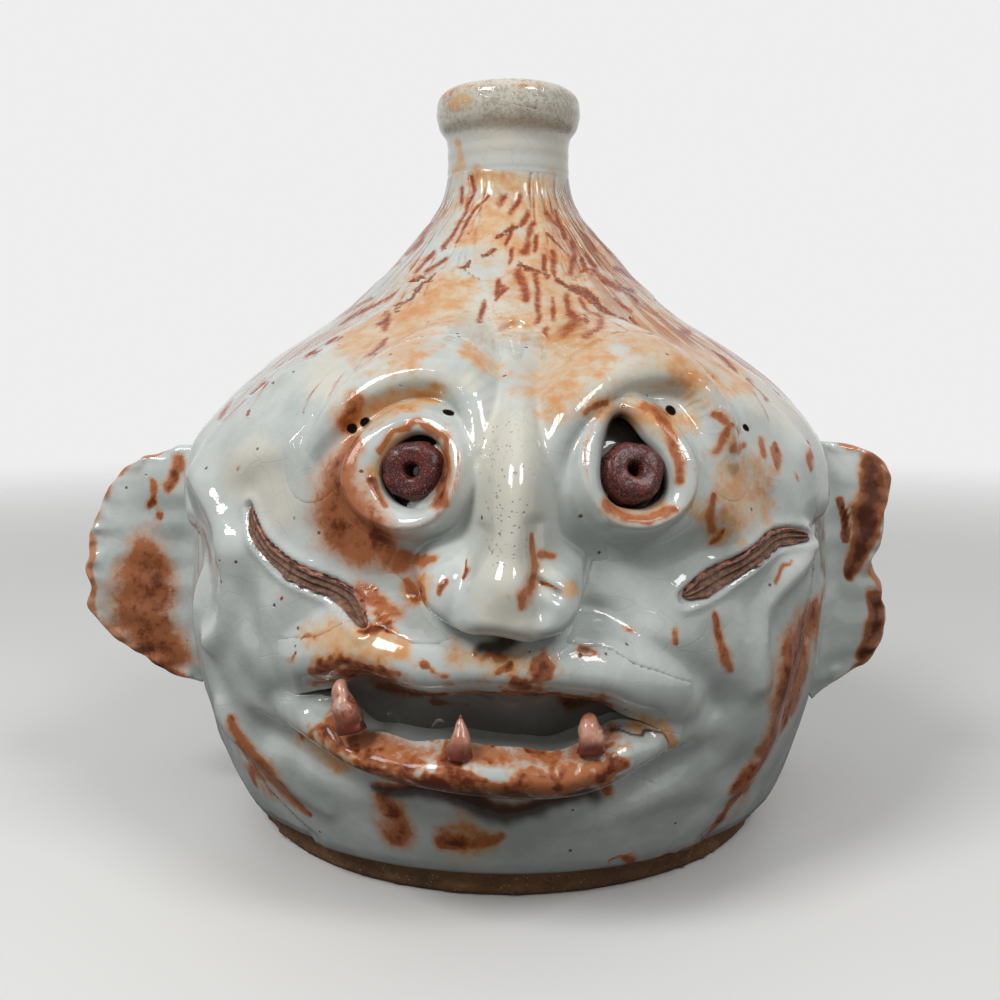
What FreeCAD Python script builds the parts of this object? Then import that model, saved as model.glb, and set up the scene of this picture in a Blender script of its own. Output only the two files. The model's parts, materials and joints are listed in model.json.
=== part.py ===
"""Face jug: a thrown, closed jug with a neck, dressed with applied clay that makes a grotesque face.

Millimetres. Z is up, the face looks along -Y, X runs to the viewer's right, and the origin is at the
centre of the foot, on the surface that the jug stands on. Left and right are the viewer's.
A place on the face is an across share of the belly's radius and an up share of the jug's height. Lift is
the distance out from the thrown wall. Luted pieces are parted by the thin layer of slip that joins them.
"""
import math
import os

import FreeCAD
import Part

V = FreeCAD.Vector
UP = V(0, 0, 1)

# The jug
jug_height = 212.0
belly_radius = 95.5
wall_thickness = 5.5
floor_thickness = 7.0
foot_height = 9.0
foot_radius = 76.0
foot_flare = 3.0
neck_radius = 18.0
neck_height = 24.0
bore_radius = 12.9
lip_roll_width = 6.4
lip_roll_height = 5.7
lip_overhang = 3.5
slip_gap = 0.15
overrun = 2.0

# The face slab
slab_thickness = 7.0
slab_edge = 3.0
vent_radius = 1.1
vent_depth = 9.0

# Eyes
bead_radius = 7.5
bead_height = 10.0
bead_hole_radius = 1.5
bead_clearance = 0.35
eye_hole_radius = 7.4
rim_width = 5.2
rim_lift = 14.5
rim_seat = 6.0

# Rolls and coils laid on the slab
brow_half_width = 6.0
brow_half_height = 5.0
lip_half_width = 5.0
lip_half_height = 5.0
scar_half_width = 2.9
scar_half_height = 2.2
nose_lift = 25.0
nose_root = 4.0

# Fangs
fang_length = 14.0
fang_radius = 3.2

# Ears
left_ear_reach = 32.0
right_ear_reach = 19.5
ear_thickness = 6.5
ear_root = 4.0

# Outline of the thrown wall over the foot: up share of the jug's height, out share of the belly's radius
wall_shares = [
    (0.094, 0.904), (0.165, 0.952), (0.236, 0.985), (0.307, 1.000), (0.377, 0.998), (0.448, 0.988),
    (0.519, 0.966), (0.575, 0.878), (0.632, 0.731), (0.689, 0.546), (0.745, 0.402), (0.802, 0.286),
]
wall_start_share = 0.852
neck_blend_up_share = 0.847
neck_blend_out_share = 1.12

# The foot slab was cut by hand: its outline as shares of its radius, at even turns
foot_outline_shares = [1.0, 0.99, 1.0, 1.01, 0.995, 1.0, 1.005, 0.99, 1.0, 1.01, 1.0, 0.995]

# Edges of the face slab: up share, and the turns in degrees at which its left and right edges lie
slab_edge_shares = [
    (0.066, -36, 36), (0.146, -50, 48), (0.231, -57, 47), (0.316, -58, 46), (0.358, -58, 48),
    (0.443, -60, 57), (0.528, -59, 57), (0.604, -49, 50), (0.679, -34, 36),
]
slab_rows = 32
slab_steps = 40
edge_fade_turn = 9.0
edge_fade_share = 0.05

# Soft mounds on the slab: across share, up share, rise as a share of the slab's thickness, and the
# mound's reach across and up, again as shares
mound_shares = [
    (-0.23, 0.515, 0.75, 0.20, 0.080),
    (0.29, 0.518, 0.75, 0.21, 0.090),
    (-0.26, 0.605, 1.05, 0.26, 0.042),
    (0.34, 0.607, 1.05, 0.28, 0.045),
    (-0.07, 0.255, 0.80, 0.52, 0.070),
    (-0.50, 0.345, 0.35, 0.16, 0.080),
    (0.42, 0.345, 0.35, 0.14, 0.080),
    (-0.05, 0.110, 0.30, 0.45, 0.050),
]

# Places of the eyes: across and up shares, and how far each bead's hole is tipped up at rest, in degrees
left_eye_share = (-0.212, 0.512)
right_eye_share = (0.280, 0.508)
left_eye_tip = 8.0
right_eye_tip = 24.0

# Outlines round the eyes as shares of the eye hole's radius, at even turns from the viewer's right, upwards
left_hole_shares = [0.97, 0.98, 1.00, 0.99, 0.97, 1.00, 1.05, 1.02]
right_hole_shares = [1.05, 1.22, 1.75, 1.20, 1.08, 1.05, 1.04, 1.10]
left_rim_shares = [1.30, 1.55, 1.95, 1.95, 1.85, 1.62, 1.52, 1.35]
right_rim_shares = [1.62, 1.85, 2.20, 1.85, 1.42, 1.25, 1.40, 1.55]
rim_shoulder_share = 0.85

# Vents that let the air out of the eye pockets: across and up shares
vent_shares = [(-0.372, 0.553), (-0.345, 0.560), (-0.136, 0.572), (0.406, 0.573)]

# Paths of the rolls: across share, up share, and the thickness there as a share of the full roll
left_brow_shares = [
    (-0.470, 0.530, 0.45), (-0.425, 0.562, 0.80), (-0.350, 0.592, 1.00), (-0.255, 0.607, 1.00),
    (-0.160, 0.604, 0.90), (-0.085, 0.590, 0.50),
]
right_brow_shares = [
    (0.105, 0.560, 0.50), (0.190, 0.588, 0.90), (0.310, 0.609, 1.00), (0.430, 0.603, 1.00),
    (0.510, 0.578, 0.80), (0.535, 0.535, 0.45),
]
upper_lip_shares = [
    (-0.555, 0.272, 0.40), (-0.480, 0.296, 0.80), (-0.365, 0.316, 1.00), (-0.240, 0.306, 0.95),
    (-0.110, 0.306, 0.95), (0.020, 0.305, 0.95), (0.150, 0.300, 0.95), (0.260, 0.282, 0.85),
    (0.385, 0.256, 0.40),
]
lower_lip_shares = [
    (-0.535, 0.238, 0.40), (-0.450, 0.218, 0.85), (-0.340, 0.208, 1.00), (-0.210, 0.204, 1.00),
    (-0.080, 0.203, 1.00), (0.050, 0.200, 1.00), (0.165, 0.204, 1.00), (0.270, 0.216, 0.85),
    (0.370, 0.232, 0.40),
]
left_scar_shares = [
    (-0.655, 0.468, 0.50), (-0.600, 0.428, 0.90), (-0.500, 0.400, 1.00), (-0.395, 0.382, 1.00),
    (-0.345, 0.362, 0.90), (-0.285, 0.338, 0.60),
]
right_scar_shares = [
    (0.405, 0.374, 0.70), (0.460, 0.387, 1.00), (0.545, 0.402, 1.00), (0.620, 0.420, 1.00),
    (0.690, 0.425, 0.90), (0.760, 0.424, 0.50),
]

# The mouth hole through the slab: across and up shares, clockwise from its left corner
mouth_shares = [
    (-0.400, 0.268), (-0.340, 0.288), (-0.200, 0.286), (0.000, 0.284), (0.150, 0.278), (0.250, 0.258),
    (0.190, 0.232), (0.050, 0.224), (-0.150, 0.228), (-0.330, 0.238),
]

# Nose sections from the tip up: up share, left and right foot and ridge as across shares, and lift share
nose_shares = [
    (0.352, -0.100, 0.085, -0.010, 0.72), (0.366, -0.195, 0.165, -0.012, 0.93),
    (0.384, -0.250, 0.210, -0.010, 1.00), (0.405, -0.245, 0.205, 0.000, 0.98),
    (0.435, -0.185, 0.160, 0.008, 0.86), (0.475, -0.140, 0.130, 0.012, 0.78),
    (0.520, -0.115, 0.120, 0.020, 0.74), (0.565, -0.115, 0.125, 0.026, 0.66),
    (0.598, -0.100, 0.110, 0.028, 0.50),
]
nose_flank_share = 0.55
nose_flank_lift_share = 0.80
nose_foot_lift_share = 0.12

# Fangs on the lower lip: across share, up share of the foot, and the lean in degrees to the right
left_fang_share = (-0.372, 0.224, -14.0)
middle_fang_share = (-0.108, 0.222, 2.0)
right_fang_share = (0.195, 0.222, -4.0)
fang_lift_share = 0.9
fang_taper_shares = [(0.0, 1.0), (0.35, 0.92), (0.7, 0.68), (1.0, 0.36)]

# Ear sections: up share, and the reach as a share of that ear's reach
left_ear_shares = [
    (0.532, 0.04), (0.514, 0.36), (0.490, 0.64), (0.455, 0.84), (0.415, 0.94), (0.370, 0.98),
    (0.320, 1.00), (0.285, 0.94), (0.255, 0.80), (0.228, 0.60), (0.203, 0.35), (0.178, 0.06),
]
right_ear_shares = [
    (0.534, 0.06), (0.522, 0.46), (0.504, 0.82), (0.480, 1.00), (0.450, 0.97), (0.410, 0.90),
    (0.378, 0.82), (0.354, 0.74), (0.328, 0.86), (0.298, 0.96), (0.250, 1.00), (0.220, 0.86),
    (0.190, 0.48), (0.162, 0.06),
]
# One ear section: out share of the reach, forward share of the thickness, from the back of the root round
ear_section_shares = [
    (0.50, -0.75), (0.90, -0.20), (1.00, 0.90), (0.88, 1.35), (0.72, 0.95), (0.42, 0.00), (0.12, 0.30),
]
ear_root_share = 0.6
left_ear_turn = -79.0
right_ear_turn = 79.0

# Worked out from the sizes above
neck_base = jug_height - neck_height
body_base = foot_height + slip_gap


def spline(points):
    """One smooth curve through the points, as an edge."""
    curve = Part.BSplineCurve()
    curve.interpolate(points)
    return curve.toShape()


def curve_through(points, closed=False):
    """A smooth curve through points that stand for even steps."""
    steps = len(points) if closed else len(points) - 1
    even = [step / steps for step in range(steps + 1)]
    curve = Part.BSplineCurve()
    curve.interpolate(Points=points, Parameters=even, PeriodicFlag=closed)
    return curve


def surface_through(rows, closed=False):
    """A smooth surface through rows of points that stand for even steps both ways, as a face."""
    along = [curve_through(row, closed) for row in rows]
    across = [curve_through(list(column)) for column in zip(*[curve.getPoles() for curve in along])]
    surface = Part.BSplineSurface()
    surface.buildFromPolesMultsKnots(
        [curve.getPoles() for curve in across], along[0].getMultiplicities(), across[0].getMultiplicities(),
        along[0].getKnots(), across[0].getKnots(), closed, False, along[0].Degree, across[0].Degree)
    return surface.toShape()


def solid_of(faces):
    """The solid that the faces close."""
    shell = Part.makeShell(faces)
    shell.sewShape()
    solid = Part.Solid(shell)
    if solid.Volume < 0:
        solid.reverse()
    return solid


def skin(rings):
    """The solid whose smooth side runs through closed flat rings, with a flat face at each end."""
    ends = [Part.Face(Part.Wire([curve_through(ring, True).toShape()])) for ring in (rings[0], rings[-1])]
    return solid_of([surface_through(rings, True)] + ends)


def line(start, end):
    return Part.LineSegment(start, end).toShape()


def wall_points(grow):
    """The wall's outline from its base to the neck, grown outwards by the given distance."""
    points = [V(belly_radius * wall_start_share + grow, 0, body_base)]
    points += [V(belly_radius * out + grow, 0, jug_height * up) for up, out in wall_shares]
    points.append(V(neck_radius * neck_blend_out_share + grow, 0, jug_height * neck_blend_up_share))
    points.append(V(neck_radius + grow, 0, neck_base))
    return points


wall_curve = Part.BSplineCurve()
wall_curve.interpolate(wall_points(0))


def wall_radius(up):
    """Radius of the thrown wall at a height, by halving the curve's parameter range."""
    low = wall_curve.FirstParameter
    high = wall_curve.LastParameter
    for _ in range(30):
        middle = (low + high) / 2
        if wall_curve.value(middle).z < up:
            low = middle
        else:
            high = middle
    return wall_curve.value(low).x


def at_turn(turn, up, lift):
    """The point over the wall at a turn, in radians from the front to the viewer's right."""
    reach = wall_radius(up) + lift
    return V(reach * math.sin(turn), -reach * math.cos(turn), up)


def outward(turn):
    return V(math.sin(turn), -math.cos(turn), 0)


def turn_of(across, up, lift):
    return math.asin(across / (wall_radius(up) + lift))


def core(grow):
    """The jug's outer form, filled, grown by the given distance: the tool that seats what lies on it."""
    points = wall_points(grow)
    low = V(0, 0, body_base)
    high = V(0, 0, neck_base)
    outline = Part.Wire([line(low, points[0]), spline(points), line(points[-1], high), line(high, low)])
    return Part.Face(outline).revolve(V(0, 0, 0), UP, 360)


def smooth(share):
    """Rises from 0 to 1 with level ends."""
    share = min(max(share, 0), 1)
    return share * share * (3 - 2 * share)


def relief(across, up, edge_share=1):
    """Lift of the face slab: its thickness, less towards its edge, plus the soft mounds."""
    rise = slab_edge + (slab_thickness - slab_edge) * edge_share
    for at_across, at_up, height, wide, tall in mound_shares:
        x = (across - at_across * belly_radius) / (wide * belly_radius)
        z = (up - at_up * jug_height) / (tall * jug_height)
        rise += height * edge_share * slab_thickness * math.exp(-x * x - z * z)
    return rise


def slab_edges(up_share):
    """The turns of the slab's left and right edges at an up share, eased from one named place to the next."""
    for low, high in zip(slab_edge_shares, slab_edge_shares[1:]):
        if up_share <= high[0]:
            break
    ease = smooth((up_share - low[0]) / (high[0] - low[0]))
    return low[1] + (high[1] - low[1]) * ease, low[2] + (high[2] - low[2]) * ease


def face_slab(grow, back_lift):
    """The face slab before its holes: its front grown by a distance, its back at a lift over the wall."""
    lowest = slab_edge_shares[0][0]
    highest = slab_edge_shares[-1][0]
    front = []
    back = []
    for row in range(slab_rows + 1):
        up_share = lowest + (highest - lowest) * row / slab_rows
        up = up_share * jug_height
        left_edge, right_edge = slab_edges(up_share)
        ends = smooth((up_share - lowest) / edge_fade_share) * smooth((highest - up_share) / edge_fade_share)
        radius = wall_radius(up)
        front.append([])
        back.append([])
        for step in range(slab_steps + 1):
            degrees = left_edge + (right_edge - left_edge) * step / slab_steps
            left_fade = smooth((degrees - left_edge) / edge_fade_turn)
            right_fade = smooth((right_edge - degrees) / edge_fade_turn)
            turn = math.radians(degrees)
            lift = relief(radius * math.sin(turn), up, left_fade * right_fade * ends)
            front[-1].append(outward(turn) * (radius + lift + grow) + UP * up)
            back[-1].append(outward(turn) * (radius + back_lift) + UP * up)
    faces = [surface_through(front), surface_through(back)]
    for pick in (lambda rows: rows[0], lambda rows: rows[-1],
                 lambda rows: [row[0] for row in rows], lambda rows: [row[-1] for row in rows]):
        faces.append(Part.makeRuledSurface(*[curve_through(pick(rows)).toShape() for rows in (front, back)]))
    return solid_of(faces)


def roll(path_shares, half_width, half_height, grow=0.0):
    """A roll of clay along a path on the slab: an oval section that swells and thins, square to the path."""
    places = []
    for across_share, up_share, full in path_shares:
        across = across_share * belly_radius
        up = up_share * jug_height
        lift = relief(across, up)
        places.append((at_turn(turn_of(across, up, lift), up, lift), full))
    sections = []
    for index, (centre, full) in enumerate(places):
        before = places[max(index - 1, 0)][0]
        after = places[min(index + 1, len(places) - 1)][0]
        along = (after - before).normalize()
        out = V(centre.x, centre.y, 0).normalize()
        side = along.cross(out).normalize()
        out = side.cross(along)
        ring = []
        for step in range(8):
            angle = step * math.pi / 4
            ring.append(centre + side * ((half_width * full + grow) * math.cos(angle))
                        + out * ((half_height * full + grow) * math.sin(angle)))
        sections.append(ring)
    return skin(sections)


class Eye:
    """Where an eye lies and the frame of its holes: right along the wall, up, and out of the wall."""

    def __init__(self, place_share, hole_shares, rim_shares, tip):
        half_width = (bead_radius - bead_hole_radius) / 2
        middle = bead_hole_radius + half_width
        half_height = bead_height / 2
        bulge = 1.0
        if half_height > half_width:
            bulge = min(1.0, half_width * middle / (half_height ** 2 - half_width ** 2))
        swing = math.sqrt((middle + half_width * bulge) ** 2 + half_height ** 2 * (1 - bulge ** 2))
        self.pocket_radius = swing + bead_clearance
        self.up = place_share[1] * jug_height
        self.lift = self.pocket_radius + slip_gap
        self.turn = turn_of(place_share[0] * belly_radius, self.up, self.lift)
        self.centre = at_turn(self.turn, self.up, self.lift)
        self.out = outward(self.turn)
        self.right = V(math.cos(self.turn), math.sin(self.turn), 0)
        self.hole_shares = hole_shares
        self.rim_shares = rim_shares
        self.tip = math.radians(tip)

    def ring(self, shares, lift, wider=0.0):
        """A closed outline round the eye at a lift, with the given shares of the hole's radius."""
        points = []
        for index, share in enumerate(shares):
            angle = 2 * math.pi * index / len(shares)
            radius = share * eye_hole_radius + wider
            points.append(self.centre + self.out * (lift - self.lift)
                          + self.right * (radius * math.cos(angle)) + UP * (radius * math.sin(angle)))
        return points

    def hole(self):
        """The tool that opens the pocket: the bead's round pocket and the hole's outline in front of it."""
        pocket = Part.makeSphere(self.pocket_radius)
        pocket.Placement = FreeCAD.Placement(self.centre, FreeCAD.Rotation(UP, self.out))
        ends = [self.ring(self.hole_shares, lift) for lift in (-overrun, rim_lift + overrun)]
        return pocket.fuse(skin(ends))

    def rim_blank(self, grow):
        """The coil round the hole before its hole: it swells out from its crest to its seat."""
        crest = self.rim_shares
        return skin([
            self.ring(crest, rim_seat, rim_width + grow),
            self.ring(crest, (rim_seat + rim_lift) / 2, rim_width * rim_shoulder_share + grow),
            self.ring(crest, rim_lift - rim_width / 4, rim_width / 2 + grow),
            self.ring(crest, rim_lift + grow),
        ])

    def funnel(self):
        """The slope from the rim's crest down to the hole."""
        middle_shares = [(inner + outer) / 2 for inner, outer in zip(self.hole_shares, self.rim_shares)]
        return skin([
            self.ring(self.hole_shares, rim_seat + rim_width / 2),
            self.ring(middle_shares, (rim_seat + rim_width / 2 + rim_lift) / 2),
            self.ring(self.rim_shares, rim_lift + overrun),
        ])

    def bead(self):
        """The ring bead: an oval turned about the axis of its hole."""
        half_width = (bead_radius - bead_hole_radius) / 2
        middle = bead_hole_radius + half_width
        centre = V(middle, 0, 0)
        if bead_height / 2 > half_width:
            oval = Part.Ellipse(centre + V(0, 0, bead_height / 2), centre + V(half_width, 0, 0), centre)
        else:
            oval = Part.Ellipse(centre + V(half_width, 0, 0), centre + V(0, 0, bead_height / 2), centre)
        solid = Part.Face(Part.Wire([oval.toShape()])).revolve(V(0, 0, 0), UP, 360)
        hole_axis = self.out * math.cos(self.tip) + UP * math.sin(self.tip)
        solid.Placement = FreeCAD.Placement(self.centre, FreeCAD.Rotation(UP, hole_axis))
        return solid


def thrown_body():
    """The thrown wall: shoulder, belly and floor, open at the neck's bore."""
    outer = wall_points(0)
    inner = [V(outer[0].x - wall_thickness, 0, body_base + floor_thickness)]
    for point in outer[1:-1]:
        slope = wall_curve.tangent(wall_curve.parameter(point))[0]
        inner.append(point - V(slope.z, 0, -slope.x) * wall_thickness)
    inner.append(V(bore_radius, 0, neck_base))
    axis_low = V(0, 0, body_base)
    axis_high = V(0, 0, body_base + floor_thickness)
    outline = Part.Wire([
        line(axis_low, outer[0]), spline(outer), line(outer[-1], inner[-1]),
        spline(list(reversed(inner))), line(inner[0], axis_high), line(axis_high, axis_low),
    ])
    return Part.Face(outline).revolve(V(0, 0, 0), UP, 360)


def neck_collar():
    """The neck with its rolled lip, and the bore that takes a stopper."""
    base = neck_base + slip_gap
    roll_middle = V(neck_radius + lip_overhang - lip_roll_width, 0, jug_height - lip_roll_height)
    tube = Part.makeCylinder(neck_radius, roll_middle.z - base, V(0, 0, base))
    roll_side = roll_middle + V(lip_roll_width, 0, 0)
    roll_top = roll_middle + V(0, 0, lip_roll_height)
    oval = Part.Ellipse(roll_side, roll_top, roll_middle)
    lip = Part.Face(Part.Wire([oval.toShape()])).revolve(V(0, 0, 0), UP, 360)
    bore = Part.makeCylinder(bore_radius, neck_height + overrun, V(0, 0, neck_base))
    return tube.fuse(lip).cut(bore)


def foot_slab():
    """The raw clay slab under the wall, a little wider at its top."""
    rings = []
    for up, radius in [(0, foot_radius), (foot_height, foot_radius + foot_flare)]:
        points = []
        for index, share in enumerate(foot_outline_shares):
            angle = 2 * math.pi * index / len(foot_outline_shares)
            points.append(V(radius * share * math.cos(angle), radius * share * math.sin(angle), up))
        rings.append(points)
    return skin(rings)


def nose_blank(grow):
    """The nose: level rings with a ridge and two flanks, closed behind the slab's front."""
    rows = []
    for up_share, left, right, ridge, lift_share in nose_shares:
        up = up_share * jug_height
        lift = nose_lift * lift_share
        foot_lift = lift * nose_foot_lift_share
        flank_lift = lift * nose_flank_lift_share
        left_flank = ridge + (left - ridge) * nose_flank_share
        right_flank = ridge + (right - ridge) * nose_flank_share
        places = [(left, foot_lift), (left_flank, flank_lift), (ridge, lift), (right_flank, flank_lift),
                  (right, foot_lift)]
        points = []
        for share, height in places:
            across = share * belly_radius
            points.append(at_turn(turn_of(across, up, height), up, height + grow))
        rows.append(points + [points[-1] - outward(0) * nose_root, points[0] - outward(0) * nose_root])
    return skin(rows)


def mouth_hole():
    """The tool that cuts the mouth through the slab, straight back."""
    points = [V(across * belly_radius, 0, up * jug_height) for across, up in mouth_shares]
    depth = belly_radius + nose_lift
    return Part.Face(Part.Wire([curve_through(points, True).toShape()])).extrude(V(0, -depth, 0))


def vents():
    """Small round holes through the slab above the eyes."""
    holes = []
    for across_share, up_share in vent_shares:
        up = up_share * jug_height
        turn = turn_of(across_share * belly_radius, up, rim_lift)
        start = at_turn(turn, up, relief(across_share * belly_radius, up) - vent_depth)
        holes.append(Part.makeCylinder(vent_radius, vent_depth + rim_lift, start, outward(turn)))
    return Part.makeCompound(holes)


def fang(place_share):
    """A tapering tusk that stands on the lower lip and leans."""
    across_share, up_share, lean = place_share
    up = up_share * jug_height
    across = across_share * belly_radius
    lift = relief(across, up) + lip_half_height * fang_lift_share
    turn = turn_of(across, up, lift)
    start = at_turn(turn, up, lift)
    right = V(math.cos(turn), math.sin(turn), 0)
    along = UP * math.cos(math.radians(lean)) + right * math.sin(math.radians(lean))
    side = right * math.cos(math.radians(lean)) - UP * math.sin(math.radians(lean))
    out = outward(turn)
    sections = []
    for length_share, radius_share in fang_taper_shares:
        centre = start + along * (fang_length * length_share)
        radius = fang_radius * radius_share
        ring = []
        for step in range(8):
            angle = step * math.pi / 4
            ring.append(centre + side * (radius * math.cos(angle)) + out * (radius * math.sin(angle)))
        sections.append(ring)
    return skin(sections)


def ear(row_shares, reach, turn_degrees):
    """A cupped ear: level sections whose tip curls forwards, longest at the middle of the ear."""
    sign = 1 if turn_degrees > 0 else -1
    turn = math.radians(turn_degrees)
    sections = []
    for up_share, reach_share in row_shares:
        up = up_share * jug_height
        root = at_turn(turn, up, -ear_root)
        length = ear_root + reach * reach_share
        points = [root + V(0, ear_thickness * ear_root_share, 0)]
        for out_share, forward_share in ear_section_shares:
            points.append(root + V(sign * length * out_share, -ear_thickness * forward_share, 0))
        points.append(root + V(0, -ear_thickness * ear_root_share, 0))
        sections.append(points)
    return skin(sections)


def export(name, shape):
    """Write one piece, which has to be one valid solid."""
    solids = shape.Solids
    print(f"{name}: {len(solids)} solid, valid {shape.isValid()}, volume {shape.Volume:.0f}")
    shape.exportStep(f"parts/{name}.step")


def cut_all(shape, tools):
    """The main solid that is left when every tool has been cut away."""
    for tool in tools:
        shape = shape.cut(tool)
    return max(shape.Solids, key=lambda solid: solid.Volume)


def main():
    os.makedirs("parts", exist_ok=True)
    left_eye = Eye(left_eye_share, left_hole_shares, left_rim_shares, left_eye_tip)
    right_eye = Eye(right_eye_share, right_hole_shares, right_rim_shares, right_eye_tip)
    wall_tool = core(slip_gap)
    slab_tool = face_slab(slip_gap, -wall_thickness)
    vent_tool = vents()

    export("foot_slab", foot_slab())
    export("thrown_body", thrown_body())
    export("neck_collar", neck_collar())

    slab = face_slab(0, slip_gap)
    export("face_mask", cut_all(slab, [left_eye.hole(), right_eye.hole(), mouth_hole(), vent_tool]))

    for name, eye in (("left", left_eye), ("right", right_eye)):
        export(f"{name}_eye_rim", cut_all(eye.rim_blank(0), [slab_tool, eye.funnel(), eye.hole(), vent_tool]))
        export(f"{name}_eye_bead", eye.bead())
        print(f"{name} eye centre {eye.centre.x:.3f} {eye.centre.y:.3f} {eye.centre.z:.3f}")

    rim_tools = [left_eye.rim_blank(slip_gap), right_eye.rim_blank(slip_gap)]
    nose = cut_all(nose_blank(0), [slab_tool] + rim_tools)
    export("nose", nose)

    for name, path in (("left_brow", left_brow_shares), ("right_brow", right_brow_shares)):
        brow = roll(path, brow_half_width, brow_half_height)
        export(name, cut_all(brow, [slab_tool, vent_tool, nose_blank(slip_gap)] + rim_tools))

    lips = {"upper_lip": upper_lip_shares, "lower_lip": lower_lip_shares}
    lip_tools = [roll(path, lip_half_width, lip_half_height, slip_gap) for path in lips.values()]
    for name, path in lips.items():
        export(name, cut_all(roll(path, lip_half_width, lip_half_height), [slab_tool]))

    fangs = {"left_fang": left_fang_share, "middle_fang": middle_fang_share, "right_fang": right_fang_share}
    for name, place in fangs.items():
        export(name, cut_all(fang(place), [slab_tool] + lip_tools))

    export("left_ear", cut_all(ear(left_ear_shares, left_ear_reach, left_ear_turn), [wall_tool]))
    export("right_ear", cut_all(ear(right_ear_shares, right_ear_reach, right_ear_turn), [wall_tool]))

    for name, path in (("left_scar_coil", left_scar_shares), ("right_scar_coil", right_scar_shares)):
        export(name, cut_all(roll(path, scar_half_width, scar_half_height), [slab_tool] + lip_tools))


main()
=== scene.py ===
"""The looks of a face jug: a thrown, glazed jug with an applied clay face, bead eyes and a raw foot.

Lengths are millimetres of the frame until put() makes a mesh of them. A place on the wall is around and up:
around is the turn from the front to the viewer's right times a radius of 100 mm, and up is the height. Lift
is the distance out from the thrown wall. Face tables give x and z in millimetres, as seen from the front at
the lift named beside them. Glaze tables give places in pixels of the 1000 by 1000 photograph, because the
glaze fields are worked out where the camera sees each point. Left and right are the viewer's.
"""
import json
import math

import bpy
import numpy as np
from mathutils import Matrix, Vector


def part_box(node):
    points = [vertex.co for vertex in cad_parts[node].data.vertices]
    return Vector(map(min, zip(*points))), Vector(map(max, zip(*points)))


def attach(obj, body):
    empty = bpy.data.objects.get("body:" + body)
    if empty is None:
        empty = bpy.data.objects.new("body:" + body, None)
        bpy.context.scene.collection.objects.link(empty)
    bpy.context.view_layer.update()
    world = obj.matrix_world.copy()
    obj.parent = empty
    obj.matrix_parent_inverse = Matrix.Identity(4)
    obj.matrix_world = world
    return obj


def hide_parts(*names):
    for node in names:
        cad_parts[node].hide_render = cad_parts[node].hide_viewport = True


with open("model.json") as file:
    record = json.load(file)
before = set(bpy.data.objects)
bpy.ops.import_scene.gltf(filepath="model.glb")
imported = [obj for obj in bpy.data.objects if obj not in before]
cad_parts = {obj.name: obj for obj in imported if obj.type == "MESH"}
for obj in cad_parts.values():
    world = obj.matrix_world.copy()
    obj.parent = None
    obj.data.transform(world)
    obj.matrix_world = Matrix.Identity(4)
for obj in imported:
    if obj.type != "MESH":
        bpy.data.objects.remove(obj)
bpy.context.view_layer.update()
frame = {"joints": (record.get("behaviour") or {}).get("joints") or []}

# Sizes of the jug
jug_height = 212.0
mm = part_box("neck_collar")[1].z / jug_height
round_radius = 100.0
neck_base = 188.0
wall_thickness = 5.5
bore_radius = 12.9
foot_height = 9.0
seam_depth = 1.5
seam_width = 3.0
seam_overlap = 0.6
slab_seam = 8.0
skin_step = 0.84
piece_step = 0.42
brow_step = 0.5
back_depth = 2.5

# The camera, in millimetres and radians, with its lens on a 36 mm sensor
camera_back = 347.2
camera_up = 130.4
camera_tilt = 0.1130
camera_turn = 0.007
camera_lens = 40.93
sensor_width = 36.0
picture_width = 1000.0
focal = camera_lens / sensor_width * picture_width

# Lifts at which the tables of places are seen
fold_seen_lift = 4
scar_seen_lift = 8
eye_seen_lift = 10
nose_seen_lift = 12
mouth_seen_lift = 13
vent_seen_lift = 13
nose_foot_seen_lift = 18
nose_fold_seen_lift = 21

# The thrown wall: up and radius
WALL = [
    (0.0, 75.5), (9.2, 81.4), (20, 86.3), (35, 90.9), (50, 94.1), (65, 95.5), (80, 95.3), (95, 94.4),
    (110, 92.3), (122, 83.8), (134, 69.8), (146, 52.1), (158, 38.4), (170, 27.3), (179.6, 20.2),
    (188, 18.0), (200, 17.6),
]

# Left and right edges of the face slab: up, then the turns in degrees
SLAB_EDGES = [
    (12, -34, 34), (31, -50, 48), (49, -57, 50), (67, -58, 52), (76, -58, 54), (94, -60, 58),
    (112, -60, 58), (128, -52, 54), (148, -34, 38),
]
slab_lift = 7.0
slab_low = 12.0
slab_high = 148.0

# Soft mounds and hollows of the slab: x, z, lift, reach across and up
MOUNDS = [
    (-22, 109, 5.2, 19, 17), (27.7, 109.8, 5.2, 20, 19), (-24.8, 131, 3.5, 26, 9),
    (32.5, 131, 3.5, 28, 9), (-6.7, 61, 7.5, 44, 11), (-47.8, 73, 2.5, 15, 17),
    (40, 73, 2.5, 13.4, 17), (-4.8, 20, 0.8, 43, 8), (3, 119, 3.0, 12, 12),
]

# Hollows of the wall beside the face: turn in degrees, up, depth, reach around and up
HOLLOWS = [(-64, 82, 6.0, 10, 18), (55, 72, 5.0, 9, 16), (-2, 70, 4.0, 7, 4)]

# Crests: x, z, lift
LEFT_BROW = [
    (-44.5, 110, 8), (-41.6, 116.0, 13), (-36.4, 122.4, 17), (-28.8, 127.0, 19), (-19.8, 129.0, 19.5),
    (-12.0, 127.0, 18), (-8.0, 121.5, 15), (-6.5, 114.0, 12),
]
RIGHT_BROW = [
    (8.6, 108.0, 11), (10.6, 114.0, 14), (14.0, 119.6, 17), (20.8, 125.6, 19), (32.5, 129.6, 19.5),
    (44.0, 127.4, 18), (50.0, 119.6, 14), (51.5, 110, 8),
]
brow_round_below = 3.2
brow_round_above = 3.4
brow_piece_width = 9.0
lip_round = 6.0

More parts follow.
